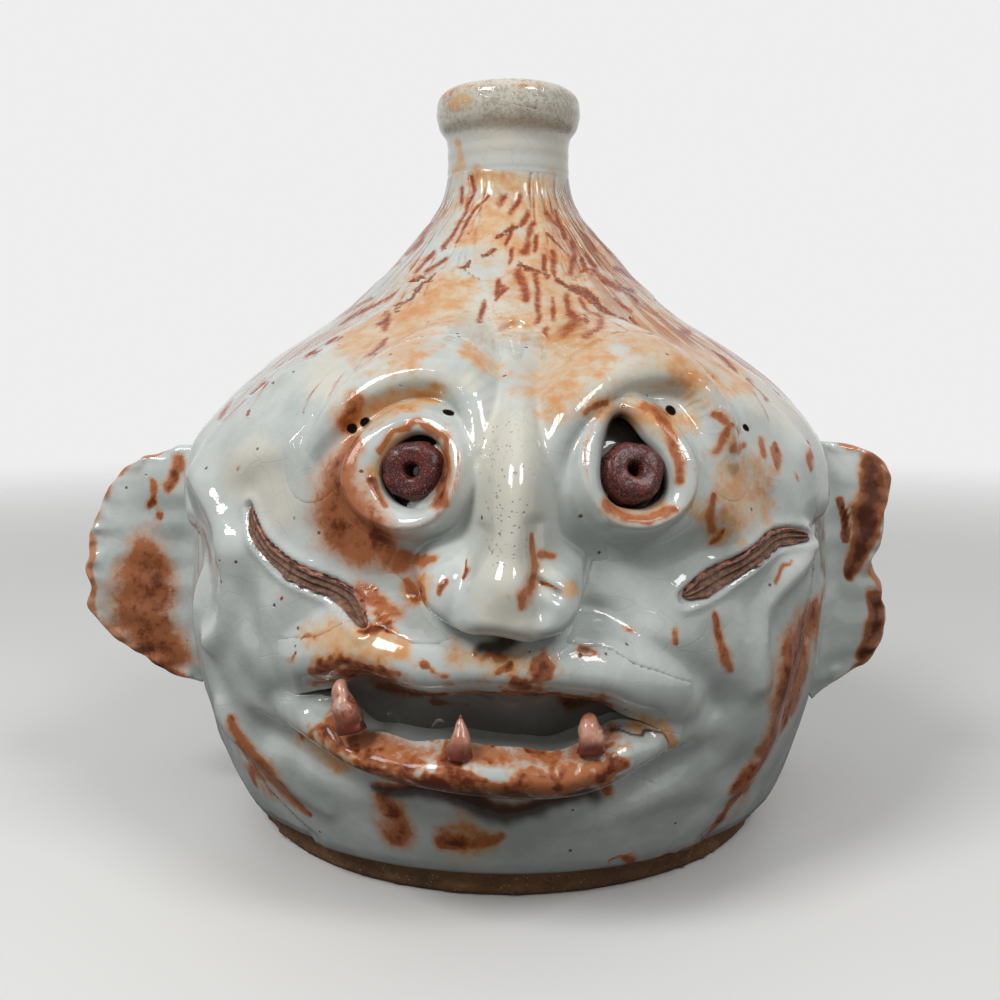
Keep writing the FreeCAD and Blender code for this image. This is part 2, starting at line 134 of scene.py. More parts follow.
# The eyes: centre x and z; radii of the hole and of the rim's crest, at even turns from the right, upwards
LEFT_EYE = (-20.2, 108.5)
RIGHT_EYE = (26.7, 107.7)
LEFT_HOLE = [7.1, 7.3, 7.7, 7.9, 7.5, 7.3, 7.4, 7.4, 7.6, 7.7, 7.4, 7.1]
RIGHT_HOLE = [8.0, 8.0, 8.8, 12.4, 9.0, 7.2, 6.8, 7.0, 7.2, 7.2, 8.0, 8.6]
LEFT_CREST = [9.6, 10.8, 12.4, 13.2, 13.6, 13.8, 13.9, 13.2, 12.0, 11.2, 10.4, 9.6]
RIGHT_CREST = [12.8, 14.0, 15.8, 16.8, 14.0, 11.8, 10.4, 10.2, 10.4, 10.4, 11.0, 12.0]
rim_lift = 14.8
rim_half_width = 4.9
rim_piece_width = 5.5
hole_lift = 9.6
pocket_lift = 0.4
pocket_radius = 7.8
pocket_widening = 1.9
pocket_foot_margin = 2.4

# The nose: bulb and wings as domes: x, z, lift, reach across and up; the bridge as a crest with half widths
BRIDGE = [
    (2.6, 130, 13.0, 9.5), (2.4, 120, 17.0, 9.8), (1.8, 109, 20.0, 9.8), (1.2, 98, 22.0, 9.8),
    (0.2, 88, 23.6, 11.5),
]
NOSE_DOMES = [(-1.6, 81.0, 24.6, 14.5, 15.0), (-14.0, 83.0, 19.5, 9.0, 11.5), (11.4, 82.0, 21.0, 7.5, 10.5)]
NOSE_FOOT = [
    (-28, 89), (-23.5, 85), (-20, 81.5), (-15.5, 78.2), (-9, 76.2), (-3, 76.4), (2, 75.2), (7, 73.8),
    (11, 75.0), (14.6, 78.4), (17.8, 84), (21, 92),
]
NOSE_FOLDS = [
    ([(454, 606), (461, 580), (469, 556), (480, 536)], -2.0, 2.0),
    ([(541, 604), (536, 580), (534, 556), (537, 528)], -2.0, 1.8),
    ([(534, 582), (546, 588), (558, 593)], -1.6, 1.0),
]

# The nose's own piece: x, z and half width along its middle
NOSE_PIECE = [(2.6, 130, 9), (1.6, 108, 12), (-1.0, 84, 22)]

# The mouth: upper and lower edges as x and z; they meet at the corners
UPPER_EDGE = [
    (-62, 53.5), (-50.7, 56.3), (-45.5, 57.5), (-40.8, 58.9), (-33, 62.9), (-28.7, 62.2), (-23, 60.1),
    (-16.2, 58.9), (-10.5, 60.2), (2.2, 59.9), (9.7, 59.8), (15, 58.7), (22.2, 57.0), (25.4, 54.7),
    (31.3, 51.9), (36.7, 49.4), (48, 45),
]
LOWER_EDGE = [
    (-62, 53.5), (-50.7, 56.3), (-45.5, 56.0), (-40.2, 54.6), (-35.5, 50.6), (-29, 50.0), (-20.9, 48.8),
    (-15.8, 49.4), (-4.1, 48.6), (4.8, 47.9), (9.9, 47.3), (14.4, 48.2), (20, 50.6), (24.3, 52.4),
    (31.3, 51.6), (36.7, 49.4), (48, 45),
]

# The mouth's left and right corners, and where it starts to gape: x, z
MOUTH_PLACES = [(-50.7, 56.3), (36.7, 49.4), (-43.0, 57), (27.0, 53)]

# Crests of the lips and the groove under the lower lip: x, z, lift
UPPER_LIP = [
    (-54, 61.0, 9), (-46, 65.0, 14), (-34, 69.0, 17.5), (-22, 67.4, 18.5), (-8, 66.4, 18.5), (6, 66.4, 18.5),
    (18, 65.6, 18.5), (28, 62.0, 17), (40, 55.4, 10),
]
LOWER_LIP = [
    (-52, 50.5, 9), (-42, 48.0, 14), (-34, 45.2, 17), (-20, 43.6, 18.5), (-6, 43.0, 19), (6, 42.4, 19),
    (18, 43.4, 18.5), (27, 45.8, 16), (37, 45.5, 9),
]
CHIN_GROOVE = [
    (-58, 43.1, 3), (-45.2, 38.8, 6), (-33.5, 35.6, 8), (-22.1, 33.4, 8), (-11.2, 31.4, 8), (10.5, 30.0, 8),
    (21.4, 31.6, 8), (34, 36.2, 6), (46, 41.0, 2),
]
lip_reach = 13.0
lower_lip_reach = 15.0
mouth_floor_lift = -1.0
lip_back_lift = -1.2

# Folds and creases of the face: px and py of the photograph, then rise and half width
FOLDS = [
    ([(212, 470), (228, 505), (241, 545), (244, 580), (239, 612), (224, 640)], 3.0, 4.0),
    ([(800, 545), (778, 572), (757, 604), (750, 640), (748, 680)], 2.8, 3.6),
    ([(232, 705), (246, 735), (268, 765), (292, 795), (322, 818)], 1.6, 4.0),
    ([(828, 590), (806, 650), (786, 720), (752, 780), (716, 822)], 1.5, 4.0),
    ([(282, 412), (312, 386), (348, 370), (390, 360), (432, 357), (468, 367), (498, 374)], -0.7, 1.1),
    ([(578, 398), (596, 380), (628, 366), (665, 362), (700, 376), (722, 402), (732, 430)], -0.7, 1.1),
    ([(410, 604), (380, 622), (340, 646), (302, 672), (284, 704)], -2.6, 4.0),
    ([(590, 618), (606, 640), (650, 652), (690, 672), (714, 704)], -2.2, 4.0),
    ([(350, 566), (400, 575), (420, 560)], -1.6, 5.0),
    ([(606, 562), (650, 566), (700, 548)], -2.4, 6.0),
]

# Unevenness: seed, count of waves, longest and shortest wave, height
WALL_WAVES = (11, 26, 34, 7, 0.10)
SLAB_WAVES = (13, 16, 28, 12, 0.30)
FANG_WAVES = (31, 8, 9, 3, 0.16)
EAR_SHEET_WAVES = (51, 12, 22, 6, 0.25)
EAR_RIM_WAVES = (53, 22, 10, 3.0, 0.24)
EAR_BREAK_WAVES = (55, 8, 30, 8, 0.35)
GRIT_WAVES = (61, 30, 12, 1.2, 0.22)
ACROSS_WAVES = (71, 14, 26, 3, 2.2)
DOWN_WAVES = (72, 14, 26, 3, 2.2)
STROKE_WAVES = (73, 10, 14, 4, 0.8)
LIP_WAVES = (91, 26, 8, 1.4)
LIP_PAINT_WAVES = (93, 20, 6, 1.4, 0.7)

# Scars: x and z along the middle, and the half width there
LEFT_SCAR = [
    (-62.3, 98.6, 0.9), (-58.0, 91.2, 1.7), (-47.9, 84.8, 2.1), (-38.0, 81.1, 2.1), (-33.2, 78.4, 1.8),
    (-29.2, 75.2, 1.1),
]
RIGHT_SCAR = [
    (39.7, 79.9, 1.7), (43.9, 81.7, 2.4), (52.8, 85.2, 2.4), (59.5, 89.0, 2.3), (65.3, 90.8, 2.2),
    (75.0, 89.9, 1.1),
]
scar_lift = 1.0
scar_bed = 1.2

# Fangs: foot x and z, length, lean in degrees to the right, radius, how blunt the tip is
FANGS = {
    "left_fang": (-34.6, 51.2, 12.0, -14.0, 2.8, 1.0),
    "middle_fang": (-10.3, 46.8, 9.6, 0.0, 2.5, 0.1),
    "right_fang": (18.2, 48.0, 8.6, -3.0, 2.8, 0.8),
}
fang_lift = 15.5
fang_bow = 1.2


# Curves and fields

def smooth(share):
    """Rises from 0 to 1 with level ends: the square of the share times three less twice the share."""
    share = np.clip(share, 0, 1)
    return share * share * (3 - 2 * share)


def cubic(table, at):
    """A natural cubic through a table's rows: the first column is the place, the rest is read there."""
    table = np.asarray(table, float)
    places = table[:, 0]
    values = table[:, 1:]
    gaps = np.diff(places)
    count = len(places)
    slopes = np.diff(values, axis=0) / gaps[:, None]
    system = np.eye(count)
    sides = np.zeros_like(values)
    inner = np.arange(1, count - 1)
    system[inner, inner - 1] = gaps[:-1]
    system[inner, inner] = 2 * (gaps[:-1] + gaps[1:])
    system[inner, inner + 1] = gaps[1:]
    sides[1:-1] = 6 * np.diff(slopes, axis=0)
    bends = np.linalg.solve(system, sides)
    at = np.clip(np.asarray(at, float), places[0], places[-1])
    step = np.clip(np.searchsorted(places, at) - 1, 0, count - 2)
    left = (at - places[step])[..., None]
    gap = gaps[step][..., None]
    right = gap - left
    found = (bends[step] * right ** 3 + bends[step + 1] * left ** 3) / (6 * gap)
    found += (values[step] / gap - bends[step] * gap / 6) * right
    found += (values[step + 1] / gap - bends[step + 1] * gap / 6) * left
    return found[..., 0] if found.shape[-1] == 1 else found


def path_through(points, count):
    """A smooth path through points, spaced evenly along its length."""
    points = np.asarray(points, float)
    along = np.concatenate([[0], np.cumsum(np.hypot(*np.diff(points[:, :2], axis=0).T))])
    return cubic(np.column_stack([along, points]), np.linspace(0, along[-1], count))


def ring_through(radii, angle):
    """A closed smooth ring through radii at even turns: a cubic on each step, slopes from its neighbours."""
    radii = np.asarray(radii, float)
    count = len(radii)
    place = np.mod(angle / (2 * math.pi) * count, count)
    step = np.floor(place).astype(int) % count
    t = place - np.floor(place)
    before, here, after, later = (radii[(step + shift) % count] for shift in (-1, 0, 1, 2))
    bend = (2 * before - 5 * here + 4 * after - later) * t * t
    bend = bend + (3 * here - before - 3 * after + later) * t ** 3
    return here + 0.5 * ((after - before) * t + bend)


def to_path(across, up, path):
    """Distance from each place to a path of straight steps, and the path's other columns at the foot."""
    path = np.asarray(path, float)
    best = np.full(np.shape(across), np.inf)
    found = np.zeros(np.shape(across) + (path.shape[1] - 2,))
    for start, end in zip(path[:-1], path[1:]):
        step = end[:2] - start[:2]
        share = ((across - start[0]) * step[0] + (up - start[1]) * step[1]) / max(step @ step, 1e-9)
        share = np.clip(share, 0, 1)
        gap = np.hypot(across - start[0] - share * step[0], up - start[1] - share * step[1])
        nearer = gap < best
        best = np.where(nearer, gap, best)
        there = start[2:] + share[..., None] * (end[2:] - start[2:])
        found = np.where(nearer[..., None], there, found)
    return best, found


def soft_max(one, other, blend):
    """The larger of two fields, rounded where they are within the blend of each other."""
    near = np.maximum(blend - np.abs(one - other), 0) / blend
    return np.maximum(one, other) + near * near * blend / 4


def wall(up):
    """The thrown wall's radius at a height, by a cubic through its table."""
    return cubic(WALL, up)


def around_of(x, up, lift):
    """The place around the wall of a point seen at x from the front."""
    return round_radius * np.arcsin(np.clip(x / (wall(up) + lift), -0.999, 0.999))


def drawn(table, lift=None):
    """A face table with x turned into the place around; a third column is its lift unless one is given."""
    table = np.asarray(table, float)
    lifts = table[:, 2] if lift is None else lift
    return np.column_stack([around_of(table[:, 0], table[:, 1], lifts), table[:, 1:]])


def rays(pixels):
    """Directions from the camera through pixels, as x, y, z columns."""
    pixels = np.asarray(pixels, float)
    side = (pixels[..., 0] - picture_width / 2) / focal
    rise = (picture_width / 2 - pixels[..., 1]) / focal
    ahead = math.cos(camera_tilt) + math.sin(camera_tilt) * rise
    up = math.cos(camera_tilt) * rise - math.sin(camera_tilt)
    turn_cos = math.cos(camera_turn)
    turn_sin = math.sin(camera_turn)
    return np.stack([side * turn_cos - ahead * turn_sin, side * turn_sin + ahead * turn_cos, up], -1)


def picture_of(points):
    """Where the camera sees points, in pixels."""
    x = points[..., 0]
    y = points[..., 1] + camera_back
    z = points[..., 2] - camera_up
    side = x * math.cos(camera_turn) + y * math.sin(camera_turn)
    ahead = y * math.cos(camera_turn) - x * math.sin(camera_turn)
    depth = ahead * math.cos(camera_tilt) - z * math.sin(camera_tilt)
    rise = ahead * math.sin(camera_tilt) + z * math.cos(camera_tilt)
    return picture_width / 2 + focal * side / depth, picture_width / 2 - focal * rise / depth


def seen(pixels, lift):
    """Places around and up where the camera's rays meet the wall grown by a lift, by halving the ray."""
    heading = rays(pixels)
    near = np.full(len(heading), camera_back * 0.4)
    far = camera_back * heading[:, 1] / (heading[:, 0] ** 2 + heading[:, 1] ** 2)
    for _ in range(40):
        middle = (near + far) / 2
        x = heading[:, 0] * middle
        y = heading[:, 1] * middle - camera_back
        z = heading[:, 2] * middle + camera_up
        outside = np.hypot(x, y) > wall(z) + lift
        near = np.where(outside, middle, near)
        far = np.where(outside, far, middle)
    return np.column_stack([round_radius * np.arctan2(x, -y), z])


def point_at(around, up, lift):
    """The point over the wall, as x, y, z."""
    turn = around / round_radius
    reach = wall(up) + lift
    return np.stack([reach * np.sin(turn), -reach * np.cos(turn), up + 0 * reach], -1)


def waves(points, seed, count, longest, shortest, height):
    """Smooth unevenness: a sum of plane waves in seeded directions, shorter ones lower."""
    draw = np.random.default_rng(seed)
    total = np.zeros(points.shape[:-1])
    for index in range(count):
        length = longest * (shortest / longest) ** (index / max(count - 1, 1))
        heading = draw.normal(size=3)
        heading *= 2 * math.pi / length / np.linalg.norm(heading)
        total += height * (length / longest) ** 0.8 * np.sin(points @ heading + draw.uniform(0, 2 * math.pi))
    return total


# The relief

def fold_paths(folds, lift):
    """Each fold's path through its places of the photograph at a lift, with its rise and half width."""
    return [(path_through(seen(places, lift), 20), rise, width) for places, rise, width in folds]


LEFT_BROW_PATH = path_through(drawn(LEFT_BROW), 28)
RIGHT_BROW_PATH = path_through(drawn(RIGHT_BROW), 28)
UPPER_LIP_PATH = path_through(drawn(UPPER_LIP), 30)
LOWER_LIP_PATH = path_through(drawn(LOWER_LIP), 30)
GROOVE_PATH = path_through(drawn(CHIN_GROOVE), 30)
BRIDGE_PATH = path_through(drawn(BRIDGE), 16)
LEFT_SCAR_PATH = path_through(drawn(LEFT_SCAR, scar_seen_lift), 36)
RIGHT_SCAR_PATH = path_through(drawn(RIGHT_SCAR, scar_seen_lift), 36)
FOLD_PATHS = fold_paths(FOLDS, fold_seen_lift)
NOSE_FOLD_PATHS = fold_paths(NOSE_FOLDS, nose_fold_seen_lift)
UPPER_CURVE = drawn(UPPER_EDGE, mouth_seen_lift)
LOWER_CURVE = drawn(LOWER_EDGE, mouth_seen_lift)
NOSE_FOOT_CURVE = drawn(NOSE_FOOT, nose_foot_seen_lift)
NOSE_PIECE_PATH = path_through(drawn(NOSE_PIECE, nose_seen_lift), 16)
LEFT_END, RIGHT_END, OPEN_LEFT, OPEN_RIGHT = drawn(MOUTH_PLACES, mouth_seen_lift)[:, 0]


class Eye:
    """An eye's centre, and the rings of its hole and of its rim's crest."""

    def __init__(self, place, hole, crest):
        self.across = float(around_of(place[0], place[1], eye_seen_lift))
        self.up = place[1]
        self.hole = hole
        self.crest = crest

    def polar(self, around, up):
        """Distance from the centre, and the turn from the right, upwards."""
        across = around - self.across
        rise = up - self.up
        return np.hypot(across, rise), np.arctan2(rise, across)

    def place(self, away, angle):
        """The place at a distance and a turn from the centre."""
        return self.across + away * np.cos(angle), self.up + away * np.sin(angle)


EYES = {"left": Eye(LEFT_EYE, LEFT_HOLE, LEFT_CREST), "right": Eye(RIGHT_EYE, RIGHT_HOLE, RIGHT_CREST)}


def slab_sides(up):
    """The places around of the slab's left and right edges."""
    return np.moveaxis(cubic(SLAB_EDGES, up), -1, 0) * math.pi / 180 * round_radius


def slab_inside(around, up):
    """Distance inside the slab's outline, whose top edge is wavy."""
    left, right = slab_sides(up)
    across = np.minimum(around - left, right - around)
    return np.minimum(across, np.minimum(up - slab_low, slab_high + 2 * np.sin(around / 8) - up))


def slab_fade(around, up):
    """The slab's rise from its edges, 0 to 1."""
    left, right = slab_sides(up)
    sides = smooth((around - left) / 15) * smooth((right - around) / 15)
    return sides * smooth((up - slab_low) / 34) * smooth((slab_high - up) / 17)


def wobble(around, up):
    """The thrown wall's unevenness: long waves, throwing rings and small ripples of the glaze."""
    turn = around / round_radius
    low = 0.35 * np.sin(2 * turn + 0.4 + up / 60) + 0.22 * np.sin(3 * turn - up / 35)
    low += 0.14 * np.sin(5 * turn + up / 18) + 0.07 * np.sin(up / 1.9 + np.sin(turn))
    low = low + waves(point_at(around, up, 0), *WALL_WAVES)
    return (low - 0.6) * smooth((neck_base - up) / 20)


def bed_relief(around, up):
    """Lift before the applied pieces: wobble, side hollows, folds, and the slab with its mounds."""
    lift = wobble(around, up)
    for turn, at_up, depth, wide, tall in HOLLOWS:
        x = (around - turn * math.pi / 180 * round_radius) / wide
        z = (up - at_up) / tall
        lift -= depth * np.exp(-x * x - z * z)
    slab = np.full(np.shape(around), slab_lift)
    for x, z, rise, wide, tall in MOUNDS:
        offset = (around - around_of(x, z, slab_lift)) / wide
        slab += rise * np.exp(-offset ** 2 - ((up - z) / tall) ** 2)
    slab += waves(point_at(around, up, 0), *SLAB_WAVES)
    lift += slab * slab_fade(around, up)
    for path, rise, width in FOLD_PATHS:
        gap, _ = to_path(around, up, path)
        lift += rise * np.exp(-(gap / width) ** 2)
    return lift


def mouth_gap(around, up):
    """Distance inside the mouth from its nearest edge or corner, less than 0 outside."""
    corners = np.minimum(around - LEFT_END, RIGHT_END - around)
    edges = np.minimum(cubic(UPPER_CURVE, around) - up, up - cubic(LOWER_CURVE, around))
    return np.minimum(corners, edges)


def nose_relief(lift, around, up):
    """The nose over a lift: a bridge, a bulb and two wings, cut off below by the foot line."""
    gap, crest = to_path(around, up, BRIDGE_PATH)
    nose = crest[..., 0] * np.exp(-(gap / crest[..., 1]) ** 2)
    for x, z, rise, wide, tall in NOSE_DOMES:
        offset = (around - around_of(x, z, rise)) / wide
        height = (up - z) / tall
        dome = rise * np.exp(-((offset ** 2 + height ** 2) ** 1.5))
        nose = soft_max(nose, dome, 8.0)
    foot = cubic(NOSE_FOOT_CURVE, around)
    nose *= np.sqrt(1 - (1 - np.clip((up - foot + 0.8) / 6.5, 0, 1)) ** 2 * 0.9999)
    for path, rise, width in NOSE_FOLD_PATHS:
        nose += rise * np.exp(-(to_path(around, up, path)[0] / width) ** 2)
    return soft_max(lift, nose, 2.0)


def eye_relief(lift, around, up, eye):
    """An eye's rim over a lift: a crest ring, a slope out of it, and a funnel down to the hole inside it."""
    away, angle = eye.polar(around, up)
    crest = ring_through(eye.crest, angle)
    hole = ring_through(eye.hole, angle)
    outer = rim_lift * np.exp(-((away - crest) / rim_half_width) ** 2)
    inside = np.clip((away - hole) / (crest - hole), 0, 1)
    funnel = hole_lift + (rim_lift - hole_lift) * np.sqrt(1 - (1 - inside) ** 2 * 0.98)
    raised = soft_max(lift, outer, 2.0)
    within = smooth((crest - away) / 1.5 + 0.5)
    return raised * (1 - within) + funnel * within


def relief(around, up):
    """Lift of the whole face, and the lift of the bed under its applied pieces."""
    bed = bed_relief(around, up)
    lift = bed
    for path in (LEFT_BROW_PATH, RIGHT_BROW_PATH):
        gap, crest = to_path(around, up, np.column_stack([path, path[:, 1]]))
        above = smooth((up - crest[..., 1]) / 3 + 0.5)
        curve = brow_round_below + (brow_round_above - brow_round_below) * above
        roll = wall(crest[..., 1]) + crest[..., 0] - gap * gap / (2 * curve) - wall(up)
        lift = soft_max(lift, roll, 3.0)
    lift = nose_relief(lift, around, up)
    for path in (UPPER_LIP_PATH, LOWER_LIP_PATH):
        gap, crest = to_path(around, up, path)
        lift = soft_max(lift, crest[..., 0] - gap * gap / (2 * lip_round), 3.0)
    gap, depth = to_path(around, up, GROOVE_PATH)
    lift = lift - 1.4 * depth[..., 0] * np.exp(-(gap / 4.8) ** 2)
    for eye in EYES.values():
        lift = eye_relief(lift, around, up, eye)
    crease = smooth((around - LEFT_END) / 5) * smooth((RIGHT_END - around) / 5)
    lift = lift - 4.0 * crease * np.exp(-(np.maximum(-mouth_gap(around, up), 0) / 3.4) ** 2)
    for path in (LEFT_SCAR_PATH, RIGHT_SCAR_PATH):
        gap, half = to_path(around, up, path)
        lift = lift + 0.7 * np.exp(-((gap - half[..., 0] - 0.8) / 1.2) ** 2)
        lift = lift - scar_bed * smooth((half[..., 0] + 0.4 - gap) / 0.8)
    return lift, bed


# How far each applied piece reaches: distance inside its outline

def inside_brow(path, eye):
    """A band on both sides of the brow's crest, clear of the eye's rim by 1 mm."""
    def inside(around, up):
        away, angle = eye.polar(around, up)
        gap, _ = to_path(around, up, path)
        return np.minimum(brow_piece_width - gap, away - ring_through(eye.crest, angle) - 1)
    return inside


def inside_eye(eye):
    """The crest ring grown by the rim's own width."""
    def inside(around, up):
        away, angle = eye.polar(around, up)
        return ring_through(eye.crest, angle) + rim_piece_width - away
    return inside


def inside_nose(around, up):
    """A band of changing width round the nose's middle line, cut off below by the foot line."""
    gap, half = to_path(around, up, NOSE_PIECE_PATH)
    foot = cubic(NOSE_FOOT_CURVE, around)
    return np.minimum(half[..., 0] + 4 - gap, up - foot + 3)


def inside_ends(around):
    """Distance inside the lips' ends, which lie a little past the mouth's corners."""
    return np.minimum(around - LEFT_END + 4, RIGHT_END + 5 - around)


def inside_upper_lip(around, up):
    """As far over the mouth's upper edge as the lip reaches."""
    return np.minimum(lip_reach - up + cubic(UPPER_CURVE, around), inside_ends(around))


def inside_lower_lip(around, up):
    """As far under the mouth's lower edge as the lip reaches."""
    return np.minimum(lower_lip_reach + up - cubic(LOWER_CURVE, around), inside_ends(around))


def inside_lips(around, up):
    """The upper lip's distance above the middle between the mouth's edges, and the lower lip's below it."""
    above = up > (cubic(UPPER_CURVE, around) + cubic(LOWER_CURVE, around)) / 2
    return np.where(above, inside_upper_lip(around, up), inside_lower_lip(around, up))


INSIDE = {
    "left_brow": inside_brow(LEFT_BROW_PATH, EYES["left"]),
    "right_brow": inside_brow(RIGHT_BROW_PATH, EYES["right"]),
    "left_eye_rim": inside_eye(EYES["left"]),
    "right_eye_rim": inside_eye(EYES["right"]),
    "nose": inside_nose,
    "lips": inside_lips,
}


# Meshes

def grid_faces(rows, columns, closed_rows=False, closed_columns=False):
    """Quads of a grid of points, rows by columns, joined round where a direction is closed."""
    row = np.arange(rows if closed_rows else rows - 1)
    column = np.arange(columns if closed_columns else columns - 1)
    row, column = np.meshgrid(row, column, indexing="ij")
    below = row * columns
    above = (row + 1) % rows * columns
    right = (column + 1) % columns
    return np.stack([below + column, below + right, above + right, above + column], -1).reshape(-1, 4)


def put(name, points, faces, body, node, material, marks=None, caps=()):
    """Make a piece's mesh from points in millimetres, turned inside out if its volume is negative."""
    points = np.asarray(points, float).reshape(-1, 3) * mm
    faces = np.asarray(faces)
    used = np.unique(faces)
    renumber = np.zeros(len(points), int)
    renumber[used] = np.arange(len(used))
    kept = points[used]
    faces = renumber[faces]
    corners = kept[faces]
    volume = np.einsum("ij,ij->i", corners[:, 0], np.cross(corners[:, 1], corners[:, 2])).sum()
    volume += np.einsum("ij,ij->i", corners[:, 0], np.cross(corners[:, 2], corners[:, 3])).sum()
    faces = [tuple(face) for face in faces.tolist()] + [tuple(renumber[list(cap)]) for cap in caps]
    mesh = bpy.data.meshes.new(name)
    mesh.from_pydata(kept.tolist(), [], faces if volume > 0 else [face[::-1] for face in faces])
    for mark, values in (marks or {}).items():
        values = np.asarray(values, np.float32).reshape(len(points), -1)[used]
        kind = "FLOAT" if values.shape[1] == 1 else "FLOAT_VECTOR"
        attribute = mesh.attributes.new(mark, kind, "POINT")
        attribute.data.foreach_set("value" if kind == "FLOAT" else "vector", values.ravel())
    mesh.shade_smooth()
    mesh.materials.append(material)
    piece = bpy.data.objects.new(name, mesh)
    bpy.context.scene.collection.objects.link(piece)
    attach(piece, body)
    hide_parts(node)
    return piece


def end_caps(rows, columns):
    """The first row of a grid of points and its last, as faces that close a turned form."""
    return [list(range(columns))[::-1], list(range((rows - 1) * columns, rows * columns))]


def thick(front, back, keep):
    """Front and back grids of points joined into one closed skin round the kept quads."""
    rows, columns = front.shape[:2]
    quads = grid_faces(rows, columns)[keep.ravel()]
    starts = quads.ravel()
    ends = np.roll(quads, -1, axis=1).ravel()
    count = rows * columns
    edge = np.isin(starts * count + ends, ends * count + starts, invert=True)
    walls = np.stack([ends[edge], starts[edge], starts[edge] + count, ends[edge] + count], -1)
    points = np.concatenate([front.reshape(-1, 3), back.reshape(-1, 3)])
    return points, np.concatenate([quads, quads[:, ::-1] + count, walls])


def quad_mean(values):
    """The mean of a grid's values at each quad's four corners."""
    return (values[:-1, :-1] + values[1:, :-1] + values[:-1, 1:] + values[1:, 1:]) / 4


# Glaze fields

# Iron-red patches: px, py and radius in pixels
IRON_PATHS = [
    [(358, 398, 10), (342, 424, 10)],
    [(349, 446, 11), (341, 478, 20), (344, 505, 27), (350, 530, 28), (360, 552, 18)],
    [(372, 536, 18), (392, 553, 12)], [(402, 560, 9), (432, 562, 5)], [(412, 575, 6), (420, 596, 6)],
    [(370, 590, 9), (394, 604, 10)], [(364, 628, 5), (392, 632, 5)], [(376, 612, 7), (382, 622, 6)],
    [(444, 596, 3), (448, 585, 3)], [(464, 580, 0.9), (470, 560, 0.9)],
    [(531, 534, 2.5), (529, 560, 5), (526, 602, 6)], [(538, 553, 4), (553, 554, 4)],
    [(538, 583, 2), (556, 591, 2)], [(352, 680, 5), (400, 692, 5), (440, 699, 4), (470, 702, 3)],
    [(512, 688, 6), (548, 694, 7), (604, 703, 5)], [(545, 662, 9), (538, 682, 9)],
    [(578, 652, 5), (590, 652, 4)], [(628, 630, 4)], [(674, 632, 4), (674, 645, 4)],
    [(498, 655, 10), (478, 652, 6)], [(440, 676, 4), (420, 664, 4)], [(500, 676, 4), (510, 668, 3)],
    [(304, 738, 4), (312, 726, 6), (330, 724, 5), (342, 742, 5), (366, 754, 7), (400, 760, 8), (426, 760, 5)],
    [(446, 742, 5), (448, 764, 13), (456, 778, 12), (470, 752, 6)],
    [(500, 746, 3), (530, 752, 4), (560, 752, 5)],
    [(506, 764, 6), (540, 774, 9), (575, 776, 11), (600, 766, 8), (608, 784, 8)],
    [(598, 748, 5), (610, 742, 4)],
    [(384, 778, 5), (430, 792, 6), (490, 802, 6), (540, 802, 6), (588, 794, 6)],
    [(384, 796, 10), (395, 815, 13), (404, 838, 13)], [(446, 838, 8), (470, 836, 9), (500, 832, 6)],
    [(232, 722, 5), (255, 755, 7), (284, 791, 7), (309, 814, 3)], [(240, 745, 3), (262, 782, 3)],
    [(828, 582, 4), (812, 612, 9), (794, 655, 14), (784, 700, 10), (768, 745, 7), (742, 790, 6),
     (716, 830, 4)],
    [(718, 618, 4), (722, 640, 5), (727, 668, 4)], [(700, 842, 3), (660, 858, 3), (610, 866, 2)],
    [(322, 674, 8), (340, 664, 9), (360, 668, 7), (392, 676, 6)], [(312, 640, 3)], [(296, 660, 4)],
    [(280, 600, 2)], [(722, 416, 6), (728, 424, 5)], [(732, 428, 4), (713, 450, 5)],
    [(737, 440, 4), (730, 448, 3)], [(763, 440, 5), (763, 458, 5)], [(778, 452, 3), (780, 470, 4)],
    [(712, 492, 5), (710, 524, 5)], [(708, 540, 5), (720, 530, 4)], [(806, 440, 3), (812, 462, 3)],
    [(800, 470, 3)], [(790, 560, 3), (782, 580, 3)], [(590, 412, 5), (606, 404, 5)],
    [(640, 406, 5), (656, 412, 6), (672, 436, 6), (682, 462, 7), (684, 478, 5)],
    [(602, 506, 6), (626, 516, 7), (652, 516, 6), (676, 510, 5)],
    [(378, 452, 4), (392, 432, 4), (420, 422, 4), (446, 436, 5), (444, 470, 4), (434, 500, 5)],
    [(372, 480, 3), (384, 505, 3)], [(240, 470, 2)], [(380, 584, 3)],
]

# Painted shade in the hollows under the lower lip and the nose, and in the slit at the mouth's right corner:
# px, py and radius in pixels
PAINTED_SHADE_PATHS = [
    [(380, 784, 7), (430, 798, 10), (490, 807, 13), (540, 807, 13), (596, 796, 10)],
    [(484, 645, 8), (510, 647, 10)], [(612, 727, 3), (640, 736, 2), (664, 740, 1.4)],
]

# The ears' patches, on their front faces
EAR_IRON_PATHS = [
    [(148, 552, 20), (145, 585, 32), (140, 612, 28)], [(152, 628, 24), (172, 655, 18)],
    [(172, 460, 6), (164, 486, 6)], [(148, 482, 4), (146, 505, 4)], [(160, 515, 5)],
    [(130, 656, 6), (180, 676, 7)], [(868, 466, 15), (872, 500, 17), (864, 535, 12), (850, 575, 7)],
    [(876, 600, 12), (872, 630, 12), (862, 655, 8)], [(842, 500, 4), (846, 540, 4)],
]

